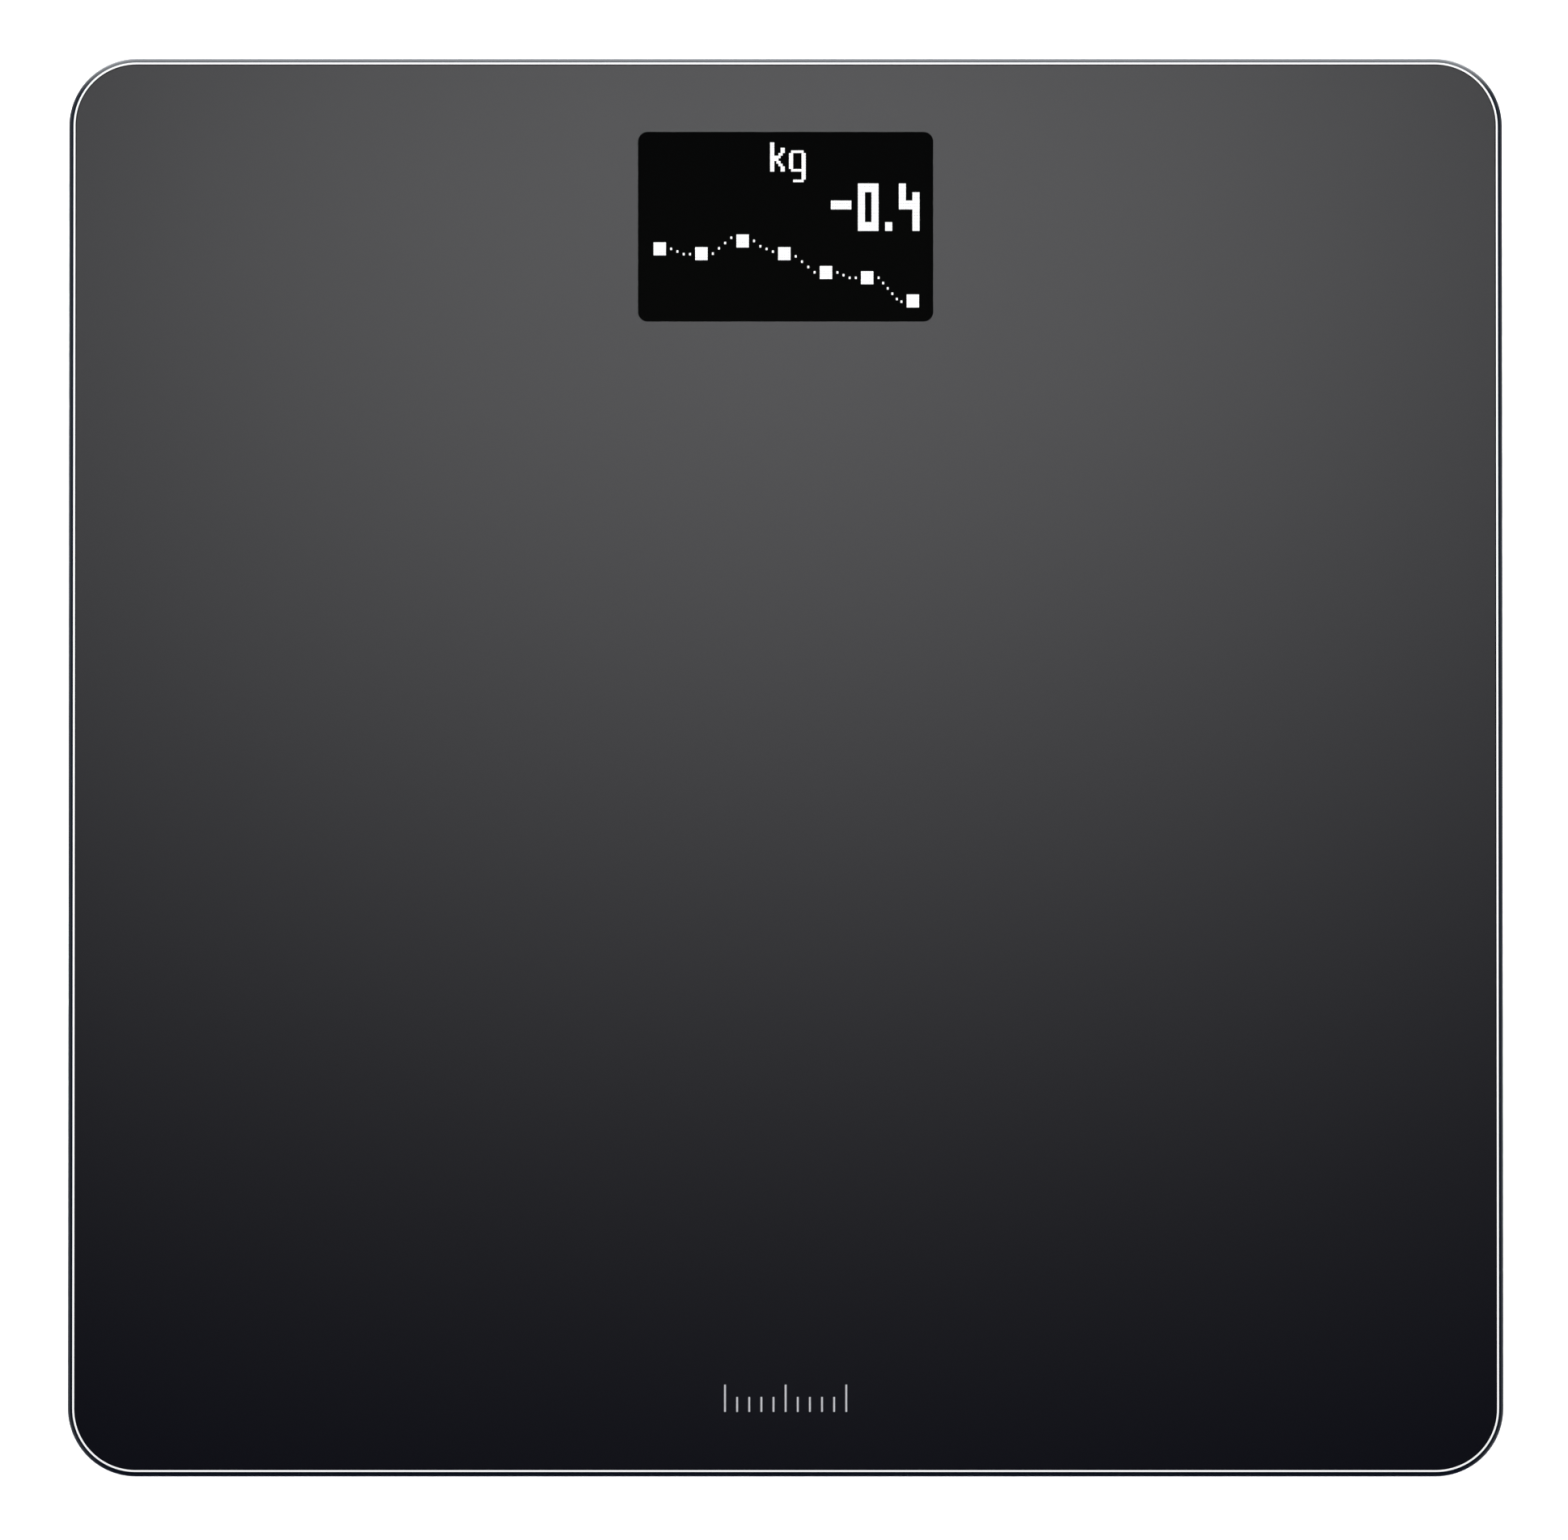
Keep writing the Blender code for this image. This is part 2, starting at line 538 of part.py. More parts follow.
def build_door():
    """The battery door: a flush plate with two hook tabs at the hinge edge and a latch rib."""
    hinge_y = BAY_Y - DOOR_SIZE[1] / 2
    origin = (0.0, hinge_y, FLOOR_LOW)
    top = FLOOR_LOW + DOOR_THICKNESS
    plate_shape = bmesh.new()
    rounded_block(plate_shape, (0.0, BAY_Y), DOOR_SIZE, 0.8, FLOOR_LOW, top, steps=2)
    door = finish("battery_door", plate_shape, "shell_plastic", origin)
    hook = [(0.4, top - 0.5), (2.4, top - 0.5), (2.4, 7.3), (-2.6, 7.3), (-2.6, 6.35), (0.4, 6.35)]
    hooks = bmesh.new()
    for x in (-16.0, 16.0):
        stack(hooks, [[Vector((side, hinge_y + y, z)) for y, z in hook] for side in (x - 3.0, x + 3.0)])
    latch = bmesh.new()
    free_y = BAY_Y + DOOR_SIZE[1] / 2
    block(latch, (0.0, free_y - 0.2), (12.0, 0.9), FLOOR_LOW + 0.5, FLOOR_LOW + 1.1)
    ribs = bmesh.new()
    for i in (-1, 0, 1):
        block(ribs, (0.0, BAY_Y + i * CELL_PITCH), (40.0, 1.2), top - 0.5, top + 1.4)
    combine(door, "UNION", finish("door_hooks", hooks), finish("door_latch", latch), finish("door_ribs", ribs))


def build_button():
    """The unit button, and the switch and small board above it."""
    place = (BUTTON_X, BUTTON_Y)
    cap = bmesh.new()
    turned(cap, [(0.0, 4.2), (4.5, 4.2), (5.0, 4.6), (5.0, 6.3), (6.8, 6.3), (6.8, 7.1), (2.0, 7.1), (2.0, 8.4),
                 (0.0, 8.4)], place, 22)
    finish("unit_button", cap, "foot_plastic", (BUTTON_X, BUTTON_Y, 4.2), smooth=True)
    switch_shape = bmesh.new()
    block(switch_shape, place, (6.0, 6.0), 9.4, 12.1)
    switch = finish("tact_switch", switch_shape, "chip_plastic")
    plunger = bmesh.new()
    rod(plunger, place, 1.6, 9.0, 10.0, 16)
    combine(switch, "UNION", finish("switch_plunger", plunger))
    board = bmesh.new()
    rounded_block(board, place, (22.0, 14.0), 1.5, 12.3, 13.5)
    finish("button_board", board, "board_green")


def build_screws():
    for number, place in enumerate(SCREW_PLACES):
        shape = bmesh.new()
        turned(shape, [(0.0, 5.4), (2.2, 5.4), (2.9, 5.9), (2.9, 7.3), (1.4, 7.3), (1.4, 14.6), (0.0, 15.8)], place, 12)
        finish("case_screw_" + str(number + 1), shape, "screw_steel", smooth=True)


def build_label():
    shape = bmesh.new()
    rounded_block(shape, (0.0, -60.0), (56.0, 34.0), 2.0, 4.05, 4.3)
    finish("rating_label", shape, "label_paper")


clear_scene()
build_platform()
build_frame()
build_shell()
for foot in foot_places():
    build_foot(*foot)
    build_cable(*foot)
build_display()
build_boards()
build_battery_bay()
build_door()
build_button()
build_screws()
build_label()
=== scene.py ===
import json
import math

import bmesh
import bpy
from mathutils import Matrix, Vector


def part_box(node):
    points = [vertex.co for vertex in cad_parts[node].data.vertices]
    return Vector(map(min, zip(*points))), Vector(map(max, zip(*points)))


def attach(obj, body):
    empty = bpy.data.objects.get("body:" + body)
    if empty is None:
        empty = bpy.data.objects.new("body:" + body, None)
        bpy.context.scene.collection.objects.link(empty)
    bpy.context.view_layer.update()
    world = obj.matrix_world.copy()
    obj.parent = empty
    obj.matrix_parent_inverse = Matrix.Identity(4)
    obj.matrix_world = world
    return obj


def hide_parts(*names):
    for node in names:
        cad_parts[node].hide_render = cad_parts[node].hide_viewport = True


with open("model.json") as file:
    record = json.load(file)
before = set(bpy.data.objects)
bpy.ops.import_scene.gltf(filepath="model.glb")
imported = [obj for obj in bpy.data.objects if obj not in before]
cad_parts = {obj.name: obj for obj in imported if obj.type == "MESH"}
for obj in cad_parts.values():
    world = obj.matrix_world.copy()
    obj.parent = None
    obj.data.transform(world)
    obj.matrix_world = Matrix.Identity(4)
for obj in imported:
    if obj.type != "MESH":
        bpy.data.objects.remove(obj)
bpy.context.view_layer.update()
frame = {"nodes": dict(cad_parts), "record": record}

mm = 0.001
evenStretch = (1.0, 1.0, 1.0)
noiseRange = (0.3, 0.7)  # most of a noise's values lie between these
blotchGrains = 12.0  # colour blotches are this many grains wide
onAxis = 1e-6  # a smaller radius is a point on the axis
cornerShare = 0.48  # a rounding takes up at most this share of the lines beside it
overshoot = 1.0  # cutters start this far outside the face they cut
nodes = frame["nodes"]
record = frame["record"]
scene = bpy.context.scene
footNames = ["front_left", "front_right", "rear_left", "rear_right"]


def toLinear(hexColour):
    channels = [int(hexColour[i:i + 2], 16) / 255 for i in (1, 3, 5)]
    return tuple(c / 12.92 if c <= 0.04045 else ((c + 0.055) / 1.055) ** 2.4 for c in channels) + (1.0,)


def addNode(tree, kind, values=None, links=None, **settings):
    node = tree.nodes.new(kind)
    for name, value in settings.items():
        setattr(node, name, value)
    for socket, value in (values or {}).items():
        node.inputs[socket].default_value = value
    for socket, source in (links or {}).items():
        tree.links.new(source, node.inputs[socket])
    return node


def newMaterial(name, colour, roughness, metallic=0.0, shaderValues=None):
    material = bpy.data.materials.new(name)
    material.use_nodes = True
    shader = material.node_tree.nodes["Principled BSDF"]
    shader.inputs["Base Color"].default_value = toLinear(colour)
    shader.inputs["Roughness"].default_value = roughness
    shader.inputs["Metallic"].default_value = metallic
    for socket, value in (shaderValues or {}).items():
        shader.inputs[socket].default_value = value
    return material


# Object coordinates in units of sizeMm, so that a pattern stays put on its piece
def objectPoint(tree, sizeMm, stretch=evenStretch):
    place = addNode(tree, "ShaderNodeTexCoord")
    scale = tuple(1.0 / (sizeMm * mm * axis) for axis in stretch)
    mapping = addNode(tree, "ShaderNodeMapping", {"Scale": scale}, {"Vector": place.outputs["Object"]})
    return mapping.outputs["Vector"]


# Bump of a noise, and a spread of roughness and of colour around the values that the shader has
def addGrain(material, grainMm, depthMm, roughSpread=0.0, colourSpread=0.0, detail=2.0, stretch=evenStretch):
    tree = material.node_tree
    shader = tree.nodes["Principled BSDF"]
    noise = addNode(tree, "ShaderNodeTexNoise", {"Scale": 1.0, "Detail": detail, "Roughness": 0.55},
                    {"Vector": objectPoint(tree, grainMm, stretch)})
    if depthMm:
        bump = addNode(tree, "ShaderNodeBump", {"Strength": 1.0, "Distance": depthMm * mm},
                       {"Height": noise.outputs["Fac"]})
        tree.links.new(bump.outputs["Normal"], shader.inputs["Normal"])
    if roughSpread:
        middle = shader.inputs["Roughness"].default_value
        ends = {"From Min": noiseRange[0], "From Max": noiseRange[1],
                "To Min": middle - roughSpread, "To Max": middle + roughSpread}
        spread = addNode(tree, "ShaderNodeMapRange", ends, {"Value": noise.outputs["Fac"]})
        tree.links.new(spread.outputs["Result"], shader.inputs["Roughness"])
    if colourSpread:
        base = tuple(shader.inputs["Base Color"].default_value)
        wide = addNode(tree, "ShaderNodeTexNoise", {"Scale": 1.0, "Detail": 3.0},
                       {"Vector": objectPoint(tree, grainMm * blotchGrains, stretch)})
        ramp = addNode(tree, "ShaderNodeValToRGB", links={"Fac": wide.outputs["Fac"]})
        shares = (1 - colourSpread, 1 + colourSpread)
        for stop, position, share in zip(ramp.color_ramp.elements, noiseRange, shares):
            stop.position = position
            stop.color = tuple(min(c * share, 1.0) for c in base[:3]) + (1.0,)
        tree.links.new(ramp.outputs["Color"], shader.inputs["Base Color"])
    return material


def addPiece(name, mesh, body, replaces=()):
    piece = bpy.data.objects.new(name, mesh)
    scene.collection.objects.link(piece)
    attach(piece, body)
    if replaces:
        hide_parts(*replaces)
    return piece


# Turns a bmesh in millimetres into a mesh in metres: doubles merged, facing out, sharp edges marked
def meshFrom(shape, name, materials, smoothAngle=30.0):
    bmesh.ops.remove_doubles(shape, verts=shape.verts, dist=0.001)
    bmesh.ops.recalc_face_normals(shape, faces=shape.faces)
    bmesh.ops.scale(shape, verts=shape.verts, vec=Vector((mm, mm, mm)))
    mesh = bpy.data.meshes.new(name)
    shape.to_mesh(mesh)
    shape.free()
    return finishMesh(mesh, materials, smoothAngle)


def finishMesh(mesh, materials, smoothAngle=30.0):
    if len(mesh.materials) > 0:
        mesh.materials.clear()  # this also puts every face back on the first material
    for material in materials:
        mesh.materials.append(material)
    mesh.shade_smooth()
    mesh.set_sharp_from_angle(angle=math.radians(smoothAngle))
    return mesh


def helperObject(name, mesh):
    helper = bpy.data.objects.new(name, mesh)
    scene.collection.objects.link(helper)
    return helper


# The evaluated mesh of a helper object, as a plain mesh; the helper goes
def bakeModifiers(helper):
    graph = bpy.context.evaluated_depsgraph_get()
    mesh = bpy.data.meshes.new_from_object(helper.evaluated_get(graph))
    mesh.name = helper.name
    bpy.data.objects.remove(helper)
    return mesh


def cutMesh(name, body, cutters, joiners=()):
    helper = helperObject(name, body)
    tools = []
    for operation, meshes in (("UNION", joiners), ("DIFFERENCE", cutters)):
        for mesh in meshes:
            tools.append(helperObject(mesh.name, mesh))
            modifier = helper.modifiers.new(mesh.name, "BOOLEAN")
            modifier.operation = operation
            modifier.solver = "EXACT"
            modifier.object = tools[-1]
    mesh = bakeModifiers(helper)
    for tool in tools:
        bpy.data.objects.remove(tool)
    return mesh


# A geometry tree with named inputs and a material; gives its input values, output node and identifiers
def newTree(name, inputs):
    tree = bpy.data.node_groups.new(name, "GeometryNodeTree")
    tree.interface.new_socket(name="Geometry", in_out="INPUT", socket_type="NodeSocketGeometry")
    identifiers = {}
    for label, kind in {**inputs, "Material": "Material"}.items():
        socket = tree.interface.new_socket(name=label, in_out="INPUT", socket_type="NodeSocket" + kind)
        identifiers[label] = socket.identifier
    tree.interface.new_socket(name="Geometry", in_out="OUTPUT", socket_type="NodeSocketGeometry")
    return tree, addNode(tree, "NodeGroupInput").outputs, addNode(tree, "NodeGroupOutput"), identifiers


def endTree(tree, out, geometry, material):
    real = addNode(tree, "GeometryNodeRealizeInstances", links={"Geometry": geometry})
    coloured = addNode(tree, "GeometryNodeSetMaterial",
                       links={"Geometry": real.outputs[0], "Material": material})
    tree.links.new(coloured.outputs[0], out.inputs["Geometry"])


def runTree(name, startMesh, tree, identifiers, values):
    helper = helperObject(name, startMesh)
    modifier = helper.modifiers.new(tree.name, "NODES")
    modifier.node_group = tree
    for label, value in values.items():
        modifier[identifiers[label]] = value
    return bakeModifiers(helper)


def pointMesh(name, points, attributes=None):
    mesh = bpy.data.meshes.new(name)
    mesh.from_pydata([tuple(value * mm for value in point) for point in points], [], [])
    for label, values in (attributes or {}).items():
        layer = mesh.attributes.new(label, "FLOAT_VECTOR", "POINT")
        for i, value in enumerate(values):
            layer.data[i].vector = value
    return mesh


def roundedRing(width, depth, radius, z, centre=(0.0, 0.0), steps=12):
    points = []
    for turn, (sideX, sideY) in enumerate([(1, 1), (-1, 1), (-1, -1), (1, -1)]):
        for step in range(steps + 1):
            angle = math.radians(90.0 * (turn + step / steps))
            points.append(Vector((centre[0] + sideX * (width / 2 - radius) + radius * math.cos(angle),
                                  centre[1] + sideY * (depth / 2 - radius) + radius * math.sin(angle), z)))
    return points


def stackRings(shape, rings):
    loops = [[shape.verts.new(point) for point in ring] for ring in rings]
    count = len(loops[0])
    for low, high in zip(loops, loops[1:]):
        for i in range(count):
            j = (i + 1) % count
            shape.faces.new((low[i], low[j], high[j], high[i]))
    shape.faces.new(list(reversed(loops[0])))
    shape.faces.new(loops[-1])


# A plate with rounded corners and softened edges, from low to high
def softPlate(shape, centre, size, radius, low, high, edge, steps=12):
    cuts = [(1.0, 0.0), (0.29, 0.29), (0.0, 1.0)]  # a quarter round, as shares of the edge
    sides = [(edge * inset, low + edge * drop) for inset, drop in cuts]
    sides += [(edge * inset, high - edge * drop) for inset, drop in reversed(cuts)]
    width, depth = size
    stackRings(shape, [roundedRing(width - 2 * inset, depth - 2 * inset, radius - inset, z, centre, steps)
                       for inset, z in sides])


# Rounds the inner corners of a profile of (radius, z, rounding)
def softProfile(corners, steps=4):
    points = [Vector((r, z)) for r, z, _ in corners]
    profile = []
    for i, (r, z, rounding) in enumerate(corners):
        if rounding == 0.0 or i in (0, len(corners) - 1):
            profile.append((r, z))
            continue
        back = points[i - 1] - points[i]
        ahead = points[i + 1] - points[i]
        reach = min(rounding, back.length * cornerShare, ahead.length * cornerShare)
        start = points[i] + back.normalized() * reach
        end = points[i] + ahead.normalized() * reach
        for step in range(steps + 1):
            t = step / steps
            spot = start * (1 - t) ** 2 + points[i] * 2 * t * (1 - t) + end * t ** 2
            profile.append((spot.x, spot.y))
    return profile


def turnProfile(shape, profile, centre=(0.0, 0.0), steps=64):
    loops = []
    for radius, z in profile:
        count = 1 if radius < onAxis else steps
        loops.append([shape.verts.new((centre[0] + radius * math.cos(2 * math.pi * i / steps),
                                       centre[1] + radius * math.sin(2 * math.pi * i / steps), z))
                      for i in range(count)])
    if profile[0][0] > onAxis:
        loops.append(loops[0])
    for low, high in zip(loops, loops[1:]):
        for i in range(steps):
            j = (i + 1) % steps
            if len(low) == 1:
                shape.faces.new((low[0], high[j], high[i]))
            elif len(high) == 1:
                shape.faces.new((low[i], low[j], high[0]))
            else:
                shape.faces.new((low[i], low[j], high[j], high[i]))


def addBlock(shape, centre, size, low, high):
    corners = [Vector((centre[0] + x * size[0] / 2, centre[1] + y * size[1] / 2, 0.0))
               for x, y in ((1, 1), (-1, 1), (-1, -1), (1, -1))]
    stackRings(shape, [[corner + Vector((0, 0, z)) for corner in corners] for z in (low, high)])


# Materials: each from what the real one is and how its surface was made

white = (1.0, 1.0, 1.0, 1.0)
clearGloss = {"Coat Weight": 1.0, "Coat Roughness": 0.02}
# Black enamel fired on the back of tempered glass: deep black with a wide satin glow, under clear gloss
satinPrint = addGrain(newMaterial("firedEnamelUnderGlass", "#0a0a0a", 0.45, 0.0, clearGloss),
                      40.0, 0.0, 0.004)
# The print's narrow rim beside the ground facet: darker, a painted shade between facet and print, with less
# glow
printMarginPaintedShade = addGrain(newMaterial("thinEnamelRim", "#020202", 0.45, 0.0,
                                   {**clearGloss, "Specular IOR Level": 0.16}), 4.0, 0.0, 0.01)
# Unprinted glass over a dark display: nothing scatters below it, so it is plain black
clearWindow = addGrain(newMaterial("clearGlassOverDisplay", "#090903", 0.03), 20.0, 0.0, 0.008)
# Facet ground with 180 grit: frosted and pale; its emission is a painted glow, standing in for light that the
# glass carries, so it is a white line
groundFacetPaintedGlow = addGrain(newMaterial("groundGlassFacet", "#909292", 0.5, 0.0,
                                   {"Emission Color": white, "Emission Strength": 0.9}), 0.15, 0.004)
# Polished rim of tinted glass: the eye looks into dark slate depth under sharp reflections
polishedRim = addGrain(newMaterial("polishedTintedGlassRim", "#171e24", 0.06, 0.0,
                                   {"Specular Tint": (0.84, 0.93, 1.0, 1.0)}),
                       0.5, 0.0006, 0.02, 0.05, 2.0, (6.0, 6.0, 1.0))
# Organic display cell, lit: flat white
litCell = addGrain(newMaterial("litDisplayCell", "#b8b8b8", 0.6, 0.0,
                               {"Emission Color": white, "Emission Strength": 0.72}), 0.6, 0.0, 0.02)
# Screen-printed ink: pale grey, dull, with a painted glow (emission) that keeps it bright
paleInkPaintedGlow = addGrain(newMaterial("screenPrintedPaleInk", "#c4c4c7", 0.55, 0.0,
                               {"Emission Color": white, "Emission Strength": 0.36}), 0.2, 0.0, 0.05)
# ABS from a spark-eroded mould: black with an even pinhead grain that breaks up its shine
# The real grain is about 0.1 mm across; it is drawn at 0.35 mm so that it shows
shellAbs = addGrain(newMaterial("sparkErodedBlackAbs", "#1b1c1e", 0.5), 0.35, 0.03, 0.06, 0.06)
# ABS from a polished mould: satin black, for parts that fingers press
smoothAbs = addGrain(newMaterial("satinMouldedAbs", "#212224", 0.36), 1.2, 0.006, 0.04, 0.04)
# Polypropylene, moulded as it comes: grey and waxy
innerPlastic = addGrain(newMaterial("mouldedGreyPolypropylene", "#424446", 0.52), 0.8, 0.015, 0.05, 0.05)
# Thermoplastic rubber: dull charcoal with a dry bloom
footRubber = addGrain(newMaterial("mouldedCharcoalRubber", "#2b2b2c", 0.82), 0.5, 0.03, 0.05, 0.12, 3.0)
# Closed-cell acrylic foam tape: chalky, with open pores at its cut edge
foamTape = addGrain(newMaterial("closedCellFoamTape", "#d4d4cf", 0.9), 0.3, 0.05, 0.04, 0.05, 3.0)
# Spring steel, stamped and nickel plated: bright, with fine rolling lines
stampedSteel = addGrain(newMaterial("stampedPlatedSteel", "#b6b8bc", 0.3, 1.0), 0.25, 0.004, 0.08, 0.04, 2.0,
                        (1.0, 14.0, 1.0))
# Silicone poured over a gauge: milky, with a soft uneven surface
gaugeResin = addGrain(newMaterial("pouredMilkySilicone", "#dcdad0", 0.32), 2.0, 0.06, 0.04, 0.04)
# PVC drawn over the wires: grey, faintly ribbed along its length
cableJacket = addGrain(newMaterial("drawnGreyPvcJacket", "#8d8f92", 0.48), 0.8, 0.012, 0.05, 0.04)
# Glass-fibre laminate under green solder mask: glossy with a faint weave
boardLaminate = addGrain(newMaterial("solderMaskedLaminate", "#14522b", 0.32), 0.6, 0.008, 0.05, 0.1)
# Epoxy moulded round a chip: black with a sandy matt skin
chipEpoxy = addGrain(newMaterial("mouldedChipEpoxy", "#1b1b1c", 0.5), 0.12, 0.01, 0.05, 0.04)
# Tinplate folded to a shield: bright with slight waviness
foldedTinplate = addGrain(newMaterial("foldedTinplate", "#c3c4c2", 0.28, 1.0), 1.5, 0.01, 0.06, 0.03)
# Display panel glass: black and mirror smooth
panelGlass = addGrain(newMaterial("cutDisplayGlass", "#070707", 0.06), 8.0, 0.0, 0.02)
# Polyimide film: amber and glossy
ribbonFilm = addGrain(newMaterial("amberPolyimideFilm", "#a5611a", 0.3), 1.0, 0.004, 0.04, 0.08)
# PVC shrunk over a battery: green, glossy, with the faint pull of shrinking
shrinkSleeve = addGrain(newMaterial("shrunkGreenSleeve", "#35654d", 0.26), 1.4, 0.01, 0.04, 0.05, 2.0,
                        (4.0, 1.0, 1.0))
# Nickel-plated steel strip: warm silver, lightly brushed
nickelStrip = addGrain(newMaterial("brushedNickelStrip", "#cfc9bd", 0.28, 1.0), 0.3, 0.003, 0.08, 0.03, 2.0,
                       (1.0, 1.0, 8.0))
# Screw steel, black zinc plated: dark grey metal with a smoky mottle
blackZinc = addGrain(newMaterial("blackZincPlatedSteel", "#55565a", 0.34, 1.0), 0.4, 0.004, 0.08, 0.12)
# Polyester label film, satin white
labelFilm = addGrain(newMaterial("satinPolyesterLabel", "#d6d6d2", 0.42), 0.6, 0.003, 0.04, 0.02)
# Ink printed on the label: mid grey lines
labelInk = addGrain(newMaterial("printedLabelInk", "#4c4d50", 0.5), 0.3, 0.0, 0.05)

slotMaterials = {
    "tempered_glass": satinPrint, "shell_plastic": shellAbs, "frame_plastic": innerPlastic, "foam": foamTape,
    "foot_plastic": smoothAbs, "foot_rubber": footRubber, "cell_steel": stampedSteel,
    "gauge_resin": gaugeResin, "cable_jacket": cableJacket, "board_laminate": boardLaminate,
    "chip_plastic": chipEpoxy, "can_steel": foldedTinplate, "display_glass": panelGlass,
    "ribbon_film": ribbonFilm, "battery_sleeve": shrinkSleeve, "contact_nickel": nickelStrip,
    "screw_steel": blackZinc, "label_paper": labelFilm,
}
for entry in record["subparts"]:
    mesh = nodes[entry["node"]].data
    mesh.materials.clear()
    mesh.materials.append(slotMaterials[entry["material_slot"]])
print("materials ready")


# The platform glass: sizes in millimetres, insets measured in from the outline
platform = {
    "width": 327.0, "depth": 323.5, "cornerRadius": 15.5,
    "top": 22.97, "bottom": 18.0,
    "printInset": 1.83, "facetInset": 1.56, "polishInset": 1.13, "roundInset": 0.76,
    "facetDrop": 0.2, "bevelDrop": 0.4, "roundAngle": 48.0, "roundHeight": 1.82,
    "roundSteps": 9, "cornerSteps": 24, "smoothAngle": 14.0, "flatNormal": 0.999,
    "mergeWithin": 0.004, "slack": 0.01,
    "windowWidth": 67.3, "windowDepth": 43.3, "windowRadius": 2.2, "windowY": 123.12,
}


# (distance out from the print's edge, height) down the rim, from the top face to the bottom face
def rimProfile(p):
    start = math.radians(p["roundAngle"])
    half = [(p["printInset"], 0.0), (p["facetInset"], 0.0), (p["polishInset"], p["facetDrop"])]
    for i in range(p["roundSteps"] + 1):
        angle = start + (math.pi / 2 - start) * i / p["roundSteps"]
        inset = p["roundInset"] * (1 - math.sin(angle)) / (1 - math.sin(start))
        fall = p["roundHeight"] * (1 - math.cos(angle) / math.cos(start))
        half.append((inset, p["facetDrop"] + p["bevelDrop"] + fall))
    upper = [(p["printInset"] - inset, p["top"] - drop) for inset, drop in half]
    lower = [(p["printInset"] - inset, p["bottom"] + drop) for inset, drop in reversed(half)]
    return upper + lower


# The start mesh is the rim's profile: it is swept round a rounded rectangle, and both faces are filled
def buildSlabTree():
    sizes = ["Rail Width", "Rail Depth", "Rail Radius", "Top", "Bottom", "Window Width", "Window Depth",
             "Window Radius", "Window Y", "Merge Within"]
    inputs = {label: "Float" for label in sizes}
    inputs["Corner Steps"] = "Int"
    tree, take, out, identifiers = newTree("glassSlab", inputs)
    outlines = []
    for part in ("Rail", "Window"):
        box = addNode(tree, "GeometryNodeCurvePrimitiveQuadrilateral",
                      links={"Width": take[part + " Width"], "Height": take[part + " Depth"]})
        fillet = addNode(tree, "GeometryNodeFilletCurve", mode="POLY")
        tree.links.new(box.outputs[0], fillet.inputs["Curve"])
        tree.links.new(take[part + " Radius"], fillet.inputs["Radius"])
        tree.links.new(take["Corner Steps"], fillet.inputs[1])
        outlines.append(fillet)
    rail, window = outlines
    windowPlace = addNode(tree, "ShaderNodeCombineXYZ", links={"Y": take["Window Y"]})
    window = addNode(tree, "GeometryNodeTransform",
                     links={"Geometry": window.outputs[0], "Translation": windowPlace.outputs[0]})
    profile = addNode(tree, "GeometryNodeMeshToCurve", links={"Mesh": take["Geometry"]})
    rim = addNode(tree, "GeometryNodeCurveToMesh",
                  links={"Curve": rail.outputs[0], "Profile Curve": profile.outputs[0]})
    pair = addNode(tree, "GeometryNodeJoinGeometry", links={"Geometry": rail.outputs[0]})
    tree.links.new(window.outputs[0], pair.inputs["Geometry"])
    joined = addNode(tree, "GeometryNodeJoinGeometry", links={"Geometry": rim.outputs[0]})
    for outline, height in ((pair, "Top"), (window, "Top"), (rail, "Bottom")):
        lift = addNode(tree, "ShaderNodeCombineXYZ", links={"Z": take[height]})
        face = addNode(tree, "GeometryNodeFillCurve", links={"Curve": outline.outputs[0]})
        moved = addNode(tree, "GeometryNodeTransform",
                        links={"Geometry": face.outputs[0], "Translation": lift.outputs[0]})
        tree.links.new(moved.outputs[0], joined.inputs["Geometry"])
    merged = addNode(tree, "GeometryNodeMergeByDistance",
                     links={"Geometry": joined.outputs[0], "Distance": take["Merge Within"]})
    endTree(tree, out, merged.outputs[0], take["Material"])
    return tree, identifiers


def insetFromOutline(x, y, p):
    awayX = abs(x) - (p["width"] / 2 - p["cornerRadius"])
    awayY = abs(y) - (p["depth"] / 2 - p["cornerRadius"])
    outside = math.hypot(max(awayX, 0.0), max(awayY, 0.0)) + min(max(awayX, awayY), 0.0)
    return p["cornerRadius"] - outside


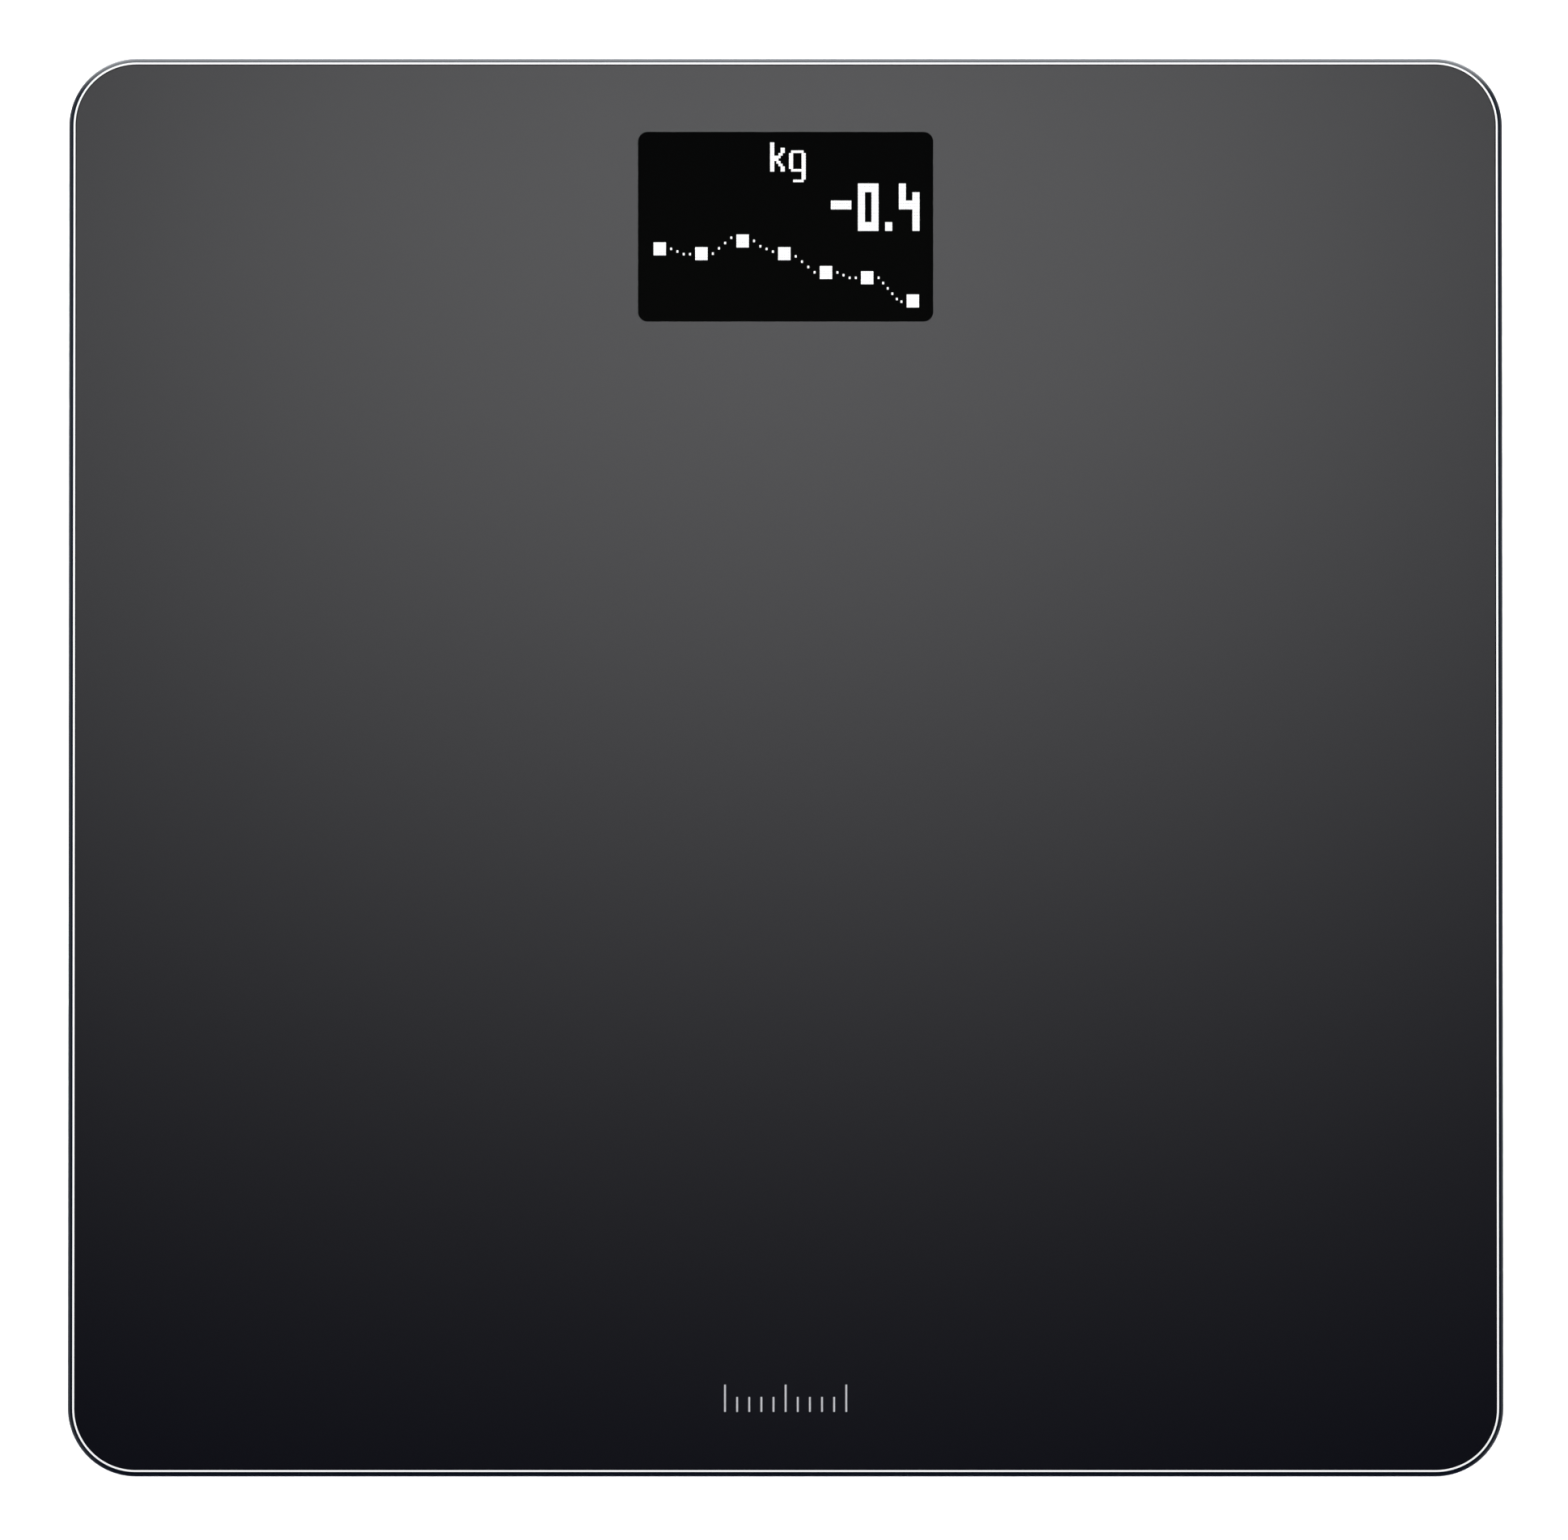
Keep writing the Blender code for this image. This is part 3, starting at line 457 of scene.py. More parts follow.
def buildPlatform(p):
    line = bpy.data.meshes.new("rimProfile")
    profile = rimProfile(p)
    edges = [(i, i + 1) for i in range(len(profile) - 1)]
    line.from_pydata([(out * mm, -z * mm, 0.0) for out, z in profile], edges, [])
    tree, identifiers = buildSlabTree()
    mesh = runTree("platformGlass", line, tree, identifiers, {
        "Rail Width": (p["width"] - 2 * p["printInset"]) * mm,
        "Rail Depth": (p["depth"] - 2 * p["printInset"]) * mm,
        "Rail Radius": (p["cornerRadius"] - p["printInset"]) * mm,
        "Top": p["top"] * mm, "Bottom": p["bottom"] * mm,
        "Window Width": p["windowWidth"] * mm, "Window Depth": p["windowDepth"] * mm,
        "Window Radius": p["windowRadius"] * mm, "Window Y": p["windowY"] * mm,
        "Merge Within": p["mergeWithin"] * mm,
        "Corner Steps": p["cornerSteps"], "Material": satinPrint,
    })
    shape = bmesh.new()
    shape.from_mesh(mesh)
    bmesh.ops.recalc_face_normals(shape, faces=shape.faces)
    shape.to_mesh(mesh)
    shape.free()
    finishes = [satinPrint, printMarginPaintedShade, groundFacetPaintedGlow, polishedRim, clearWindow]
    finishMesh(mesh, finishes, p["smoothAngle"])
    reachX = p["windowWidth"] / 2 + p["slack"]
    reachY = p["windowDepth"] / 2 + p["slack"]
    for face in mesh.polygons:
        centre = face.center / mm
        corners = [mesh.vertices[i].co / mm for i in face.vertices]
        inset = insetFromOutline(centre.x, centre.y, p)
        flat = abs(face.normal.z) > p["flatNormal"]
        inWindow = all(abs(c.x) < reachX and abs(c.y - p["windowY"]) < reachY for c in corners)
        if flat and min(insetFromOutline(c.x, c.y, p) for c in corners) > p["printInset"] - 2 * p["slack"]:
            finish = clearWindow if inWindow and face.normal.z > 0 else satinPrint
        # The flat rim between the print and the facet gets the painted shade
        elif flat:
            finish = printMarginPaintedShade
        else:
            # The ground facet gets the painted glow that makes the white line
            finish = groundFacetPaintedGlow if inset > p["polishInset"] else polishedRim
        face.material_index = finishes.index(finish)
    addPiece("platformGlass", mesh, "base", ["glass_platform"])


buildPlatform(platform)
print("platform glass ready")


# The readout: lit blocks as (left, top, width, height, columns, rows), in millimetres on the glass
readout = {
    "surface": 22.97, "thickness": 0.03, "fill": 0.945, "shift": -0.23,
    "letterCell": (0.478, 0.607), "lettersAt": (-3.54, 142.6),
    "letterBlocks": [  # (column, row, columns, rows) of the unit's two letters
        (0, 0, 2, 11), (5, 2, 2, 2), (4, 4, 2, 1), (2, 5, 3, 1), (2, 6, 2, 1), (3, 7, 2, 1), (4, 8, 2, 1),
        (5, 9, 2, 2),
        (10, 3, 6, 1), (9, 4, 2, 6), (15, 4, 2, 6), (10, 10, 7, 1), (15, 11, 2, 3), (11, 14, 5, 1),
    ],
    "digitBlocks": [  # the minus sign, the nought, the point and the four
        (10.30, 129.33, 4.69, 2.03, 9, 3),
        (16.48, 133.24, 4.70, 2.01, 9, 3), (16.48, 131.23, 1.61, 6.81, 3, 10),
        (19.58, 131.23, 1.60, 6.81, 3, 10), (16.48, 124.42, 4.70, 2.05, 9, 3),
        (22.69, 124.42, 1.62, 2.05, 3, 3),
        (25.81, 133.24, 1.61, 3.91, 3, 6), (25.81, 129.33, 4.74, 2.03, 9, 3),
        (28.90, 131.23, 1.64, 1.90, 3, 3), (28.90, 127.30, 1.64, 4.93, 3, 7),
    ],
    "markSize": (2.84, 3.0), "markGrid": (6, 5),
    "marks": [(-28.7, 118.3), (-19.2, 117.2), (-9.8, 120.1), (-0.3, 117.2), (9.2, 112.9), (18.6, 111.7),
              (29.0, 106.4)],
    "dotSize": (0.46, 0.58), "dotStart": 2.6,
    "dotRises": [(0, -1, -2, -2), (0, 2, 4, 6), (0, -2, -3, -4), (-1, -3, -5, -7), (0, -1, -2, -2),
                 (0, -2, -4, -6, -8, -9)],  # in rows of cells, from the mark on the left
}


def readoutBlocks(p):
    blocks = list(p["digitBlocks"])
    cellX, cellY = p["letterCell"]
    left, top = p["lettersAt"]
    for column, row, columns, rows in p["letterBlocks"]:
        blocks.append((left + column * cellX, top - row * cellY, columns * cellX, rows * cellY,
                       columns, rows))
    for x, y in p["marks"]:
        blocks.append((x - p["markSize"][0] / 2, y + p["markSize"][1] / 2, *p["markSize"], *p["markGrid"]))
    for rises, start, end in zip(p["dotRises"], p["marks"], p["marks"][1:]):
        pitch = (end[0] - start[0] - 2 * p["dotStart"]) / (len(rises) - 1)
        for i, rise in enumerate(rises):
            x = start[0] + p["dotStart"] + i * pitch
            y = start[1] + rise * cellY
            blocks.append((x - p["dotSize"][0] / 2, y + p["dotSize"][1] / 2, *p["dotSize"], 1, 1))
    return blocks


# Puts a thin tile of each point's size on the point
def buildTileTree():
    tree, take, out, identifiers = newTree("litTiles", {"Thickness": "Float"})
    tile = addNode(tree, "GeometryNodeMeshCube", {"Size": (1.0, 1.0, 1.0)})
    size = addNode(tree, "GeometryNodeInputNamedAttribute", {"Name": "tileSize"}, data_type="FLOAT_VECTOR")
    spread = addNode(tree, "GeometryNodeInstanceOnPoints",
                     links={"Points": take["Geometry"], "Instance": tile.outputs[0],
                            "Scale": size.outputs["Attribute"]})
    half = addNode(tree, "ShaderNodeMath", {1: 0.5}, {0: take["Thickness"]}, operation="MULTIPLY")
    lift = addNode(tree, "ShaderNodeCombineXYZ", links={"Z": half.outputs[0]})
    raised = addNode(tree, "GeometryNodeTransform",
                     links={"Geometry": spread.outputs[0], "Translation": lift.outputs[0]})
    endTree(tree, out, raised.outputs[0], take["Material"])
    return tree, identifiers


tileTree, tileSockets = buildTileTree()


# One mesh of thin tiles: points are their centres and sizes are (x, y) in millimetres
def tileMesh(name, points, sizes, thickness, material):
    scales = [(x * mm, y * mm, thickness * mm) for x, y in sizes]
    mesh = runTree(name, pointMesh(name + "Points", points, {"tileSize": scales}), tileTree, tileSockets,
                   {"Thickness": thickness * mm, "Material": material})
    return finishMesh(mesh, [material])


def buildReadout(p):
    points = []
    sizes = []
    for left, top, width, height, columns, rows in readoutBlocks(p):
        cellX = width / columns
        cellY = height / rows
        for column in range(columns):
            for row in range(rows):
                x = left + (column + 0.5) * cellX
                y = top + p["shift"] - (row + 0.5) * cellY
                points.append((x, y, p["surface"]))
                sizes.append((cellX * p["fill"], cellY * p["fill"]))
    mesh = tileMesh("litReadout", points, sizes, p["thickness"], litCell)
    addPiece("litReadout", mesh, "base")


buildReadout(readout)


# A plain graduation mark printed at the front edge, in place of lettering
graduation = {"y": -143.85, "pitch": 2.76, "count": 11, "stroke": 0.42, "tall": 6.2, "short": 3.4,
              "every": 5, "surface": 22.97, "thickness": 0.02}


def buildGraduation(p):
    points = []
    sizes = []
    for i in range(p["count"]):
        height = p["tall"] if i % p["every"] == 0 else p["short"]
        x = (i - (p["count"] - 1) / 2) * p["pitch"]
        points.append((x, p["y"] - (p["tall"] - height) / 2, p["surface"]))
        sizes.append((p["stroke"], height))
    # The graduation ink carries a painted glow
    mesh = tileMesh("printedGraduation", points, sizes, p["thickness"], paleInkPaintedGlow)
    addPiece("printedGraduation", mesh, "base")


buildGraduation(graduation)
print("readout and graduation ready")


# The base shell: (inset from the glass outline, height, corner radius) up the outside, then down the inside.
# Profiles of turned cuts and joined rings are (radius, height) about their own axis.
shell = {
    "width": 327.0, "depth": 323.5, "cornerSteps": 16, "between": 3, "smoothAngle": 25.0,
    "outside": [(16.0, 4.0, 14.0), (12.5, 4.5, 13.4), (9.0, 6.3, 12.6), (6.6, 9.0, 12.0), (5.3, 12.6, 11.2),
                (5.0, 17.4, 10.8), (5.3, 17.7, 10.5)],
    "inside": [(6.8, 17.7, 9.2), (7.0, 13.4, 9.0), (8.6, 10.2, 9.8), (11.3, 7.4, 11.0), (16.0, 6.0, 12.0)],
    "footX": 116.0, "footY": 114.0,
    "footHole": [(0.0, 3.0), (23.1, 3.0), (21.6, 4.5), (21.6, 9.0), (0.0, 9.0)],
    "footCollar": [(24.5, 5.3), (26.0, 5.3), (26.0, 10.0), (24.5, 10.0)],
    "screws": [(-145.0, 0.0), (145.0, 0.0), (-62.0, -144.0), (62.0, -144.0), (-62.0, 144.0), (62.0, 144.0)],
    "screwPost": [(0.0, 5.3), (4.5, 5.3), (4.5, 9.7), (0.0, 9.7)],
    "screwHole": [(0.0, 2.0), (4.5, 2.7), (3.2, 4.25), (3.2, 7.6), (1.7, 7.6), (1.7, 11.0), (0.0, 11.0)],
    "ribs": [((-100.0, 0.0), (1.4, 150.0)), ((100.0, 0.0), (1.4, 150.0)), ((0.0, -126.0), (150.0, 1.4))],
    "ribLow": 5.3, "ribHigh": 8.5,
    "bayY": 38.0, "opening": (54.0, 48.0), "cutLow": 3.0, "cutHigh": 9.0,
    "thumbDish": [(0.0, 3.0, 0), (9.6, 3.0, 0), (9.0, 4.0, 0), (7.6, 4.7, 1.2), (5.0, 5.1, 1.2),
                  (0.0, 5.2, 0)],  # (radius, height, rounding)
    "buttonX": 52.0, "buttonHole": [(0.0, 3.0), (6.7, 3.0), (5.4, 4.3), (5.4, 9.0), (0.0, 9.0)],
    "labelY": -60.0, "labelPocket": (57.0, 35.0), "pocketRadius": 2.5, "pocketTop": 4.5, "pocketEdge": 0.2,
}
footCorners = [(x * shell["footX"], y * shell["footY"]) for y in (-1, 1) for x in (-1, 1)]
footPlaces = dict(zip(footNames, footCorners))


# Points on a smooth curve through the given ones
def smoothThrough(points, between):
    curve = []
    for i in range(len(points) - 1):
        p0, p1, p2, p3 = (Vector(points[min(max(i + k, 0), len(points) - 1)]) for k in (-1, 0, 1, 2))
        for step in range(between):
            t = step / between
            curve.append(p1 + (p2 - p0) * 0.5 * t + (p0 * 2 - p1 * 5 + p2 * 4 - p3) * 0.5 * t ** 2
                         + (p1 * 3 - p0 - p2 * 3 + p3) * 0.5 * t ** 3)
    return curve + [Vector(points[-1])]


def buildShell(p):
    shape = bmesh.new()
    wall = smoothThrough(p["outside"][:-1], p["between"]) + [Vector(p["outside"][-1])]
    wall += smoothThrough(p["inside"], p["between"])
    rings = [roundedRing(p["width"] - 2 * inset, p["depth"] - 2 * inset, radius, z, steps=p["cornerSteps"])
             for inset, z, radius in wall]
    stackRings(shape, rings)
    body = meshFrom(shape, "baseShell", [shellAbs])

    inner = bmesh.new()
    for place in footPlaces.values():
        turnProfile(inner, p["footCollar"], place)
    for place in p["screws"]:
        turnProfile(inner, p["screwPost"], place, 32)
    for centre, size in p["ribs"]:
        addBlock(inner, centre, size, p["ribLow"], p["ribHigh"])

    cuts = bmesh.new()
    for place in footPlaces.values():
        turnProfile(cuts, p["footHole"], place, 96)
    for place in p["screws"]:
        turnProfile(cuts, p["screwHole"], place, 32)
    turnProfile(cuts, p["buttonHole"], (p["buttonX"], p["bayY"]))
    addBlock(cuts, (0.0, p["bayY"]), p["opening"], p["cutLow"], p["cutHigh"])
    pocket = bmesh.new()
    softPlate(pocket, (0.0, p["labelY"]), p["labelPocket"], p["pocketRadius"], p["cutLow"], p["pocketTop"],
              p["pocketEdge"])
    thumb = bmesh.new()
    turnProfile(thumb, softProfile(p["thumbDish"]), (0.0, p["bayY"] + p["opening"][1] / 2))
    cutters = [meshFrom(cuts, "shellCuts", []), meshFrom(pocket, "labelCut", []),
               meshFrom(thumb, "thumbCut", [])]
    mesh = cutMesh("baseShell", body, cutters, [meshFrom(inner, "shellInner", [])])
    finishMesh(mesh, [shellAbs], p["smoothAngle"])
    addPiece("baseShell", mesh, "base", ["base_shell"])


buildShell(shell)
print("base shell ready")


# Feet: profiles of (radius, height, rounding) about each foot's own axis
feet = {
    "pad": [(0.0, 0.0, 0), (3.0, 0.0, 0.3), (3.5, 0.5, 0.3), (4.5, 0.5, 0.3), (5.0, 0.0, 0.3),
            (11.0, 0.0, 0.3), (11.4, 0.5, 0.3), (12.6, 0.5, 0.3), (13.0, 0.0, 0.3), (17.3, 0.0, 0.5),
            (18.0, 0.7, 0.5), (18.0, 2.2, 0.0), (0.0, 2.2, 0)],
    "cup": [(0.0, 2.5, 0), (18.3, 2.5, 0.0), (18.3, 1.2, 0.2), (19.5, 1.2, 0.4), (20.0, 1.8, 0.4),
            (20.0, 6.3, 0.3), (24.0, 6.3, 0.3), (24.0, 7.5, 0.3), (9.0, 8.8, 1.0), (4.5, 9.6, 0.6),
            (4.5, 12.15, 0.3), (0.0, 12.15, 0)],  # its boss stays clear of the load cell when the foot is in
    "treadCount": 24, "treadIn": 13.7, "treadOut": 16.6, "treadWidth": 0.8, "treadDepth": 0.35,
    "steps": 96,
}


# Radial grooves in the sole of a foot
def treadMesh(p, name, place):
    tread = bmesh.new()
    middle = (p["treadIn"] + p["treadOut"]) / 2
    size = (p["treadOut"] - p["treadIn"], p["treadWidth"])
    for i in range(p["treadCount"]):
        before = list(tread.verts)
        addBlock(tread, (middle, 0.0), size, -overshoot, p["treadDepth"])
        turn = Matrix.Rotation(2 * math.pi * i / p["treadCount"], 4, "Z")
        fresh = [vert for vert in tread.verts if vert not in before]
        bmesh.ops.transform(tread, matrix=Matrix.Translation((*place, 0.0)) @ turn, verts=fresh)
    return meshFrom(tread, name, [])


def buildFeet(p):
    for where, place in footPlaces.items():
        body = "foot_" + where
        pad = bmesh.new()
        turnProfile(pad, softProfile(p["pad"], 3), place, p["steps"])
        padMesh = meshFrom(pad, "pad_" + where, [])
        mesh = cutMesh("footPad_" + where, padMesh, [treadMesh(p, "tread_" + where, place)])
        finishMesh(mesh, [footRubber])
        addPiece("footPad_" + where, mesh, body, ["foot_pad_" + where])
        cup = bmesh.new()
        turnProfile(cup, softProfile(p["cup"], 3), place, p["steps"])
        mesh = meshFrom(cup, "footCup_" + where, [smoothAbs])
        addPiece("footCup_" + where, mesh, body, ["foot_cup_" + where])


buildFeet(feet)
print("feet ready")


# The battery door, closed: plate, hooks at the hinge edge, latch, ribs inside and grip bars outside
door = {
    "size": (53.2, 47.2), "low": 4.0, "thickness": 1.8, "cornerRadius": 0.8, "edge": 0.3, "smoothAngle": 18.0,
    "hookX": 16.0, "hookWidth": 6.0, "hookReach": (-2.6, 0.4, 2.4), "hookUnder": 6.35, "hookTop": 7.3,
    "ribSize": (40.0, 1.2), "ribPitch": 11.1, "ribHeight": 1.4, "sink": 0.5,
    "latchSize": (12.0, 0.9), "latchOut": 0.2, "latchHeight": 0.6,
    "gripCount": 6, "gripPitch": 2.1, "gripY": 55.2, "gripWidth": 18.0, "gripDepth": 0.45, "gripStroke": 0.9,
}


# The rods that cut the grip grooves: one on each point of a line
def buildGripTree():
    inputs = {"Count": "Int", "Pitch": "Float", "Length": "Float", "Radius": "Float", "Place": "Vector"}
    tree, take, out, identifiers = newTree("gripRods", inputs)
    step = addNode(tree, "ShaderNodeCombineXYZ", links={"Y": take["Pitch"]})
    line = addNode(tree, "GeometryNodeMeshLine",
                   links={"Count": take["Count"], "Start Location": take["Place"], "Offset": step.outputs[0]})
    rod = addNode(tree, "GeometryNodeMeshCylinder", {"Vertices": 20},
                  {"Radius": take["Radius"], "Depth": take["Length"]})
    lying = addNode(tree, "GeometryNodeTransform", {"Rotation": (0.0, math.pi / 2, 0.0)},
                    {"Geometry": rod.outputs[0]})
    rods = addNode(tree, "GeometryNodeInstanceOnPoints",
                   links={"Points": line.outputs[0], "Instance": lying.outputs[0]})
    endTree(tree, out, rods.outputs[0], take["Material"])
    return tree, identifiers


def buildDoor(p):
    top = p["low"] + p["thickness"]
    under = top - p["sink"]
    hingeY = shell["bayY"] - p["size"][1] / 2
    plate = bmesh.new()
    softPlate(plate, (0.0, shell["bayY"]), p["size"], p["cornerRadius"], p["low"], top, p["edge"], 6)
    inner = bmesh.new()
    back, heel, front = p["hookReach"]
    hook = [(heel, under), (front, under), (front, p["hookTop"]), (back, p["hookTop"]),
            (back, p["hookUnder"]), (heel, p["hookUnder"])]
    for x in (-p["hookX"], p["hookX"]):
        stackRings(inner, [[Vector((side, hingeY + y, z)) for y, z in hook]
                           for side in (x - p["hookWidth"] / 2, x + p["hookWidth"] / 2)])
    for i in (-1, 0, 1):
        addBlock(inner, (0.0, shell["bayY"] + i * p["ribPitch"]), p["ribSize"], under, top + p["ribHeight"])
    latchLow = p["low"] + p["sink"]
    latchY = shell["bayY"] + p["size"][1] / 2 - p["latchOut"]
    addBlock(inner, (0.0, latchY), p["latchSize"], latchLow, latchLow + p["latchHeight"])
    tree, identifiers = buildGripTree()
    radius = (p["gripStroke"] ** 2 / 4 + p["gripDepth"] ** 2) / (2 * p["gripDepth"])
    firstY = p["gripY"] - p["gripPitch"] * (p["gripCount"] - 1)
    grips = runTree("doorGrips", bpy.data.meshes.new("gripStart"), tree, identifiers, {
        "Count": p["gripCount"], "Pitch": p["gripPitch"] * mm, "Length": p["gripWidth"] * mm,
        "Radius": radius * mm, "Place": Vector((0.0, firstY, p["low"] + p["gripDepth"] - radius)) * mm,
        "Material": shellAbs})
    plateMesh = meshFrom(plate, "doorPlate", [])
    mesh = cutMesh("batteryDoor", plateMesh, [grips], [meshFrom(inner, "doorInner", [])])
    finishMesh(mesh, [shellAbs], p["smoothAngle"])
    addPiece("batteryDoor", mesh, "battery_door", ["battery_door"])


buildDoor(door)


# The unit button: a dished cap with a flange that keeps it in its hole
button = {"profile": [(0.0, 4.45, 0), (3.2, 4.35, 0.8), (4.4, 4.2, 0.3), (5.0, 4.8, 0.5), (5.0, 6.3, 0.1),
                      (6.8, 6.3, 0.2), (6.8, 7.1, 0.2), (2.0, 7.1, 0.3), (2.0, 8.4, 0.3), (0.0, 8.4, 0)]}


def buildButton(p):
    shape = bmesh.new()
    turnProfile(shape, softProfile(p["profile"]), (shell["buttonX"], shell["bayY"]))
    mesh = meshFrom(shape, "unitButton", [smoothAbs])
    addPiece("unitButton", mesh, "unit_button", ["unit_button"])


buildButton(button)
print("battery door and unit button ready")


# Case screws: pan heads with a cross recess, sunk in their counterbores
screw = {"face": 2.2, "head": 2.9, "low": 5.4, "rim": 6.2, "seat": 7.3, "shank": 1.4, "taper": 14.4,
         "tip": 15.8, "crossLength": 3.2, "crossWidth": 0.85, "crossDepth": 1.2}


def buildScrewTree():
    tree, take, out, identifiers = newTree("caseScrews", {"Screw": "Object"})
    source = addNode(tree, "GeometryNodeObjectInfo", links={"Object": take["Screw"]})
    spread = addNode(tree, "GeometryNodeInstanceOnPoints",
                     links={"Points": take["Geometry"], "Instance": source.outputs["Geometry"]})
    endTree(tree, out, spread.outputs[0], take["Material"])
    return tree, identifiers


def buildScrews(p):
    shape = bmesh.new()
    profile = softProfile([(0.0, p["low"], 0), (p["face"], p["low"], 0.7), (p["head"], p["rim"], 0.6),
                           (p["head"], p["seat"], 0.1), (p["shank"], p["seat"], 0.2),
                           (p["shank"], p["taper"], 0.3), (0.0, p["tip"], 0)])
    turnProfile(shape, profile, steps=40)
    cross = []
    for size in ((p["crossLength"], p["crossWidth"]), (p["crossWidth"], p["crossLength"])):
        arm = bmesh.new()
        addBlock(arm, (0.0, 0.0), size, p["low"] - overshoot, p["low"] + p["crossDepth"])
        cross.append(meshFrom(arm, "crossArm", []))
    single = helperObject("singleScrew", cutMesh("singleScrew", meshFrom(shape, "screwBody", []), cross))
    tree, identifiers = buildScrewTree()
    places = pointMesh("screwPlaces", [(x, y, 0.0) for x, y in shell["screws"]])
    mesh = runTree("caseScrews", places, tree, identifiers, {"Screw": single, "Material": blackZinc})
    bpy.data.objects.remove(single)
    addPiece("caseScrews", finishMesh(mesh, [blackZinc]), "base",
             ["case_screw_%d" % (i + 1) for i in range(len(shell["screws"]))])


buildScrews(screw)


# The label below: blank film with a ruled border and two empty ruled fields
label = {
    "size": (56.0, 34.0), "radius": 2.0, "edge": 0.06, "low": 4.07, "high": 4.3, "smoothAngle": 18.0,
    "inkDepth": 0.02, "line": 0.55, "frameRadius": 1.0, "frameSteps": 6,
    "frames": [(0.0, 0.0, 52.0, 30.0), (-12.0, 5.0, 24.0, 14.0), (12.5, 5.0, 19.0, 14.0),
               (0.0, -8.5, 48.0, 7.0)],  # (x, y, width, depth) about the label's middle
}


# A ruled frame of ink: a closed strip with a rectangular section
def addFrame(shape, p, centre, width, depth):
    section = [(0.0, 0.0), (0.0, -p["inkDepth"]), (p["line"], -p["inkDepth"]), (p["line"], 0.0)]
    loops = []
    for inset, drop in section:
        ring = roundedRing(width - 2 * inset, depth - 2 * inset, p["frameRadius"] - inset, p["low"] + drop,
                           centre, p["frameSteps"])
        loops.append([shape.verts.new(point) for point in ring])
    for low, high in zip(loops, loops[1:] + loops[:1]):
        for i in range(len(low)):
            j = (i + 1) % len(low)
            shape.faces.new((low[i], low[j], high[j], high[i]))


def buildLabel(p):
    shape = bmesh.new()
    softPlate(shape, (0.0, shell["labelY"]), p["size"], p["radius"], p["low"], p["high"], p["edge"])
    paper = len(shape.faces)
    for x, y, width, depth in p["frames"]:
        addFrame(shape, p, (x, shell["labelY"] + y), width, depth)
    for face in list(shape.faces)[paper:]:
        face.material_index = 1
    mesh = meshFrom(shape, "blankLabel", [labelFilm, labelInk], p["smoothAngle"])
    addPiece("blankLabel", mesh, "base", ["rating_label"])


buildLabel(label)
print("screws and label ready")


# The batteries: sleeve over a steel can, with the bare ends and the raised cap
battery = {
    "profile": [(0.0, 0.0, 0), (4.3, 0.0, 0.3), (4.7, 0.35, 0.2), (5.25, 0.35, 0.35), (5.25, 43.2, 0.35),
                (4.7, 43.2, 0.2), (4.5, 43.6, 0.2), (1.9, 43.6, 0.15), (1.9, 44.5, 0.35), (0.0, 44.5, 0)],
    "sleeveInside": 4.75,  # faces nearer the axis than this are bare metal
    "count": 4, "steps": 48,
}


def buildBatteries(p):
    for i in range(1, p["count"] + 1):
        low, high = (Vector(corner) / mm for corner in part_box("battery_%d" % i))
        way = 1 if i % 2 == 1 else -1  # neighbours lie head to tail
        shape = bmesh.new()
        turnProfile(shape, softProfile(p["profile"], 3), steps=p["steps"])
        for face in shape.faces:
            middle = face.calc_center_median()
            face.material_index = 1 if math.hypot(middle.x, middle.y) < p["sleeveInside"] else 0
        start = low.x if way == 1 else high.x
        place = Matrix.Translation((start, (low.y + high.y) / 2, (low.z + high.z) / 2))
        turn = Matrix.Rotation(way * math.pi / 2, 4, "Y")
        bmesh.ops.transform(shape, matrix=place @ turn, verts=shape.verts)
        name = "aaaCell_%d" % i
        mesh = meshFrom(shape, name, [shrinkSleeve, nickelStrip])
        addPiece(name, mesh, "base", ["battery_%d" % i])


buildBatteries(battery)
print("batteries ready")


# Floor, light and camera
studioLight = {
    "keyPlace": (0.0, 0.58, 1.25), "keyAim": (0.0, 0.068, 0.02), "keySize": (0.415, 0.173),
    "keySpread": 19.6, "keyPower": 0.366,
    "floorPlace": (0.0, 0.0, 2.2), "floorAim": (0.0, 0.0, 0.0), "floorSize": (1.4, 1.4), "floorPower": 62.0,
    "floorSpread": 180.0,
    "overheadTint": (0.0, 0.003, 0.042, 1.0),
}
studio = {
    "floorSize": 2.6, "floorParts": 16, "floorColour": "#f4f4f4", "floorGlow": 0.5,
    "aim": (-0.00037, -0.0008), "lens": 250.0, "sensor": 36.0, "frameWidth": 0.3572, "tilt": 0.93,
    "farClip": 50.0,
}


def buildFloor(p):
    grid = bmesh.new()
    bmesh.ops.create_grid(grid, x_segments=p["floorParts"], y_segments=p["floorParts"],
                          size=p["floorSize"] / 2)
    mesh = bpy.data.meshes.new("studioFloor")
    grid.to_mesh(mesh)
    grid.free()
    # Painted board, pale and dull; seen from below it is clear, so that it doesn't hide the underside
    material = newMaterial("paintedPaleFloor", p["floorColour"], 0.7, 0.0, {
        "Emission Color": white, "Emission Strength": p["floorGlow"], "Specular IOR Level": 0.2})
    tree = material.node_tree
    side = addNode(tree, "ShaderNodeNewGeometry")
    clear = addNode(tree, "ShaderNodeBsdfTransparent")
    painted = tree.nodes["Principled BSDF"]
    mix = addNode(tree, "ShaderNodeMixShader",
                  links={0: side.outputs["Backfacing"], 1: painted.outputs[0], 2: clear.outputs[0]})
    tree.links.new(mix.outputs[0], tree.nodes["Material Output"].inputs["Surface"])
    mesh.materials.append(material)
    floor = helperObject("studioFloor", mesh)
    floor.visible_glossy = False
    return floor


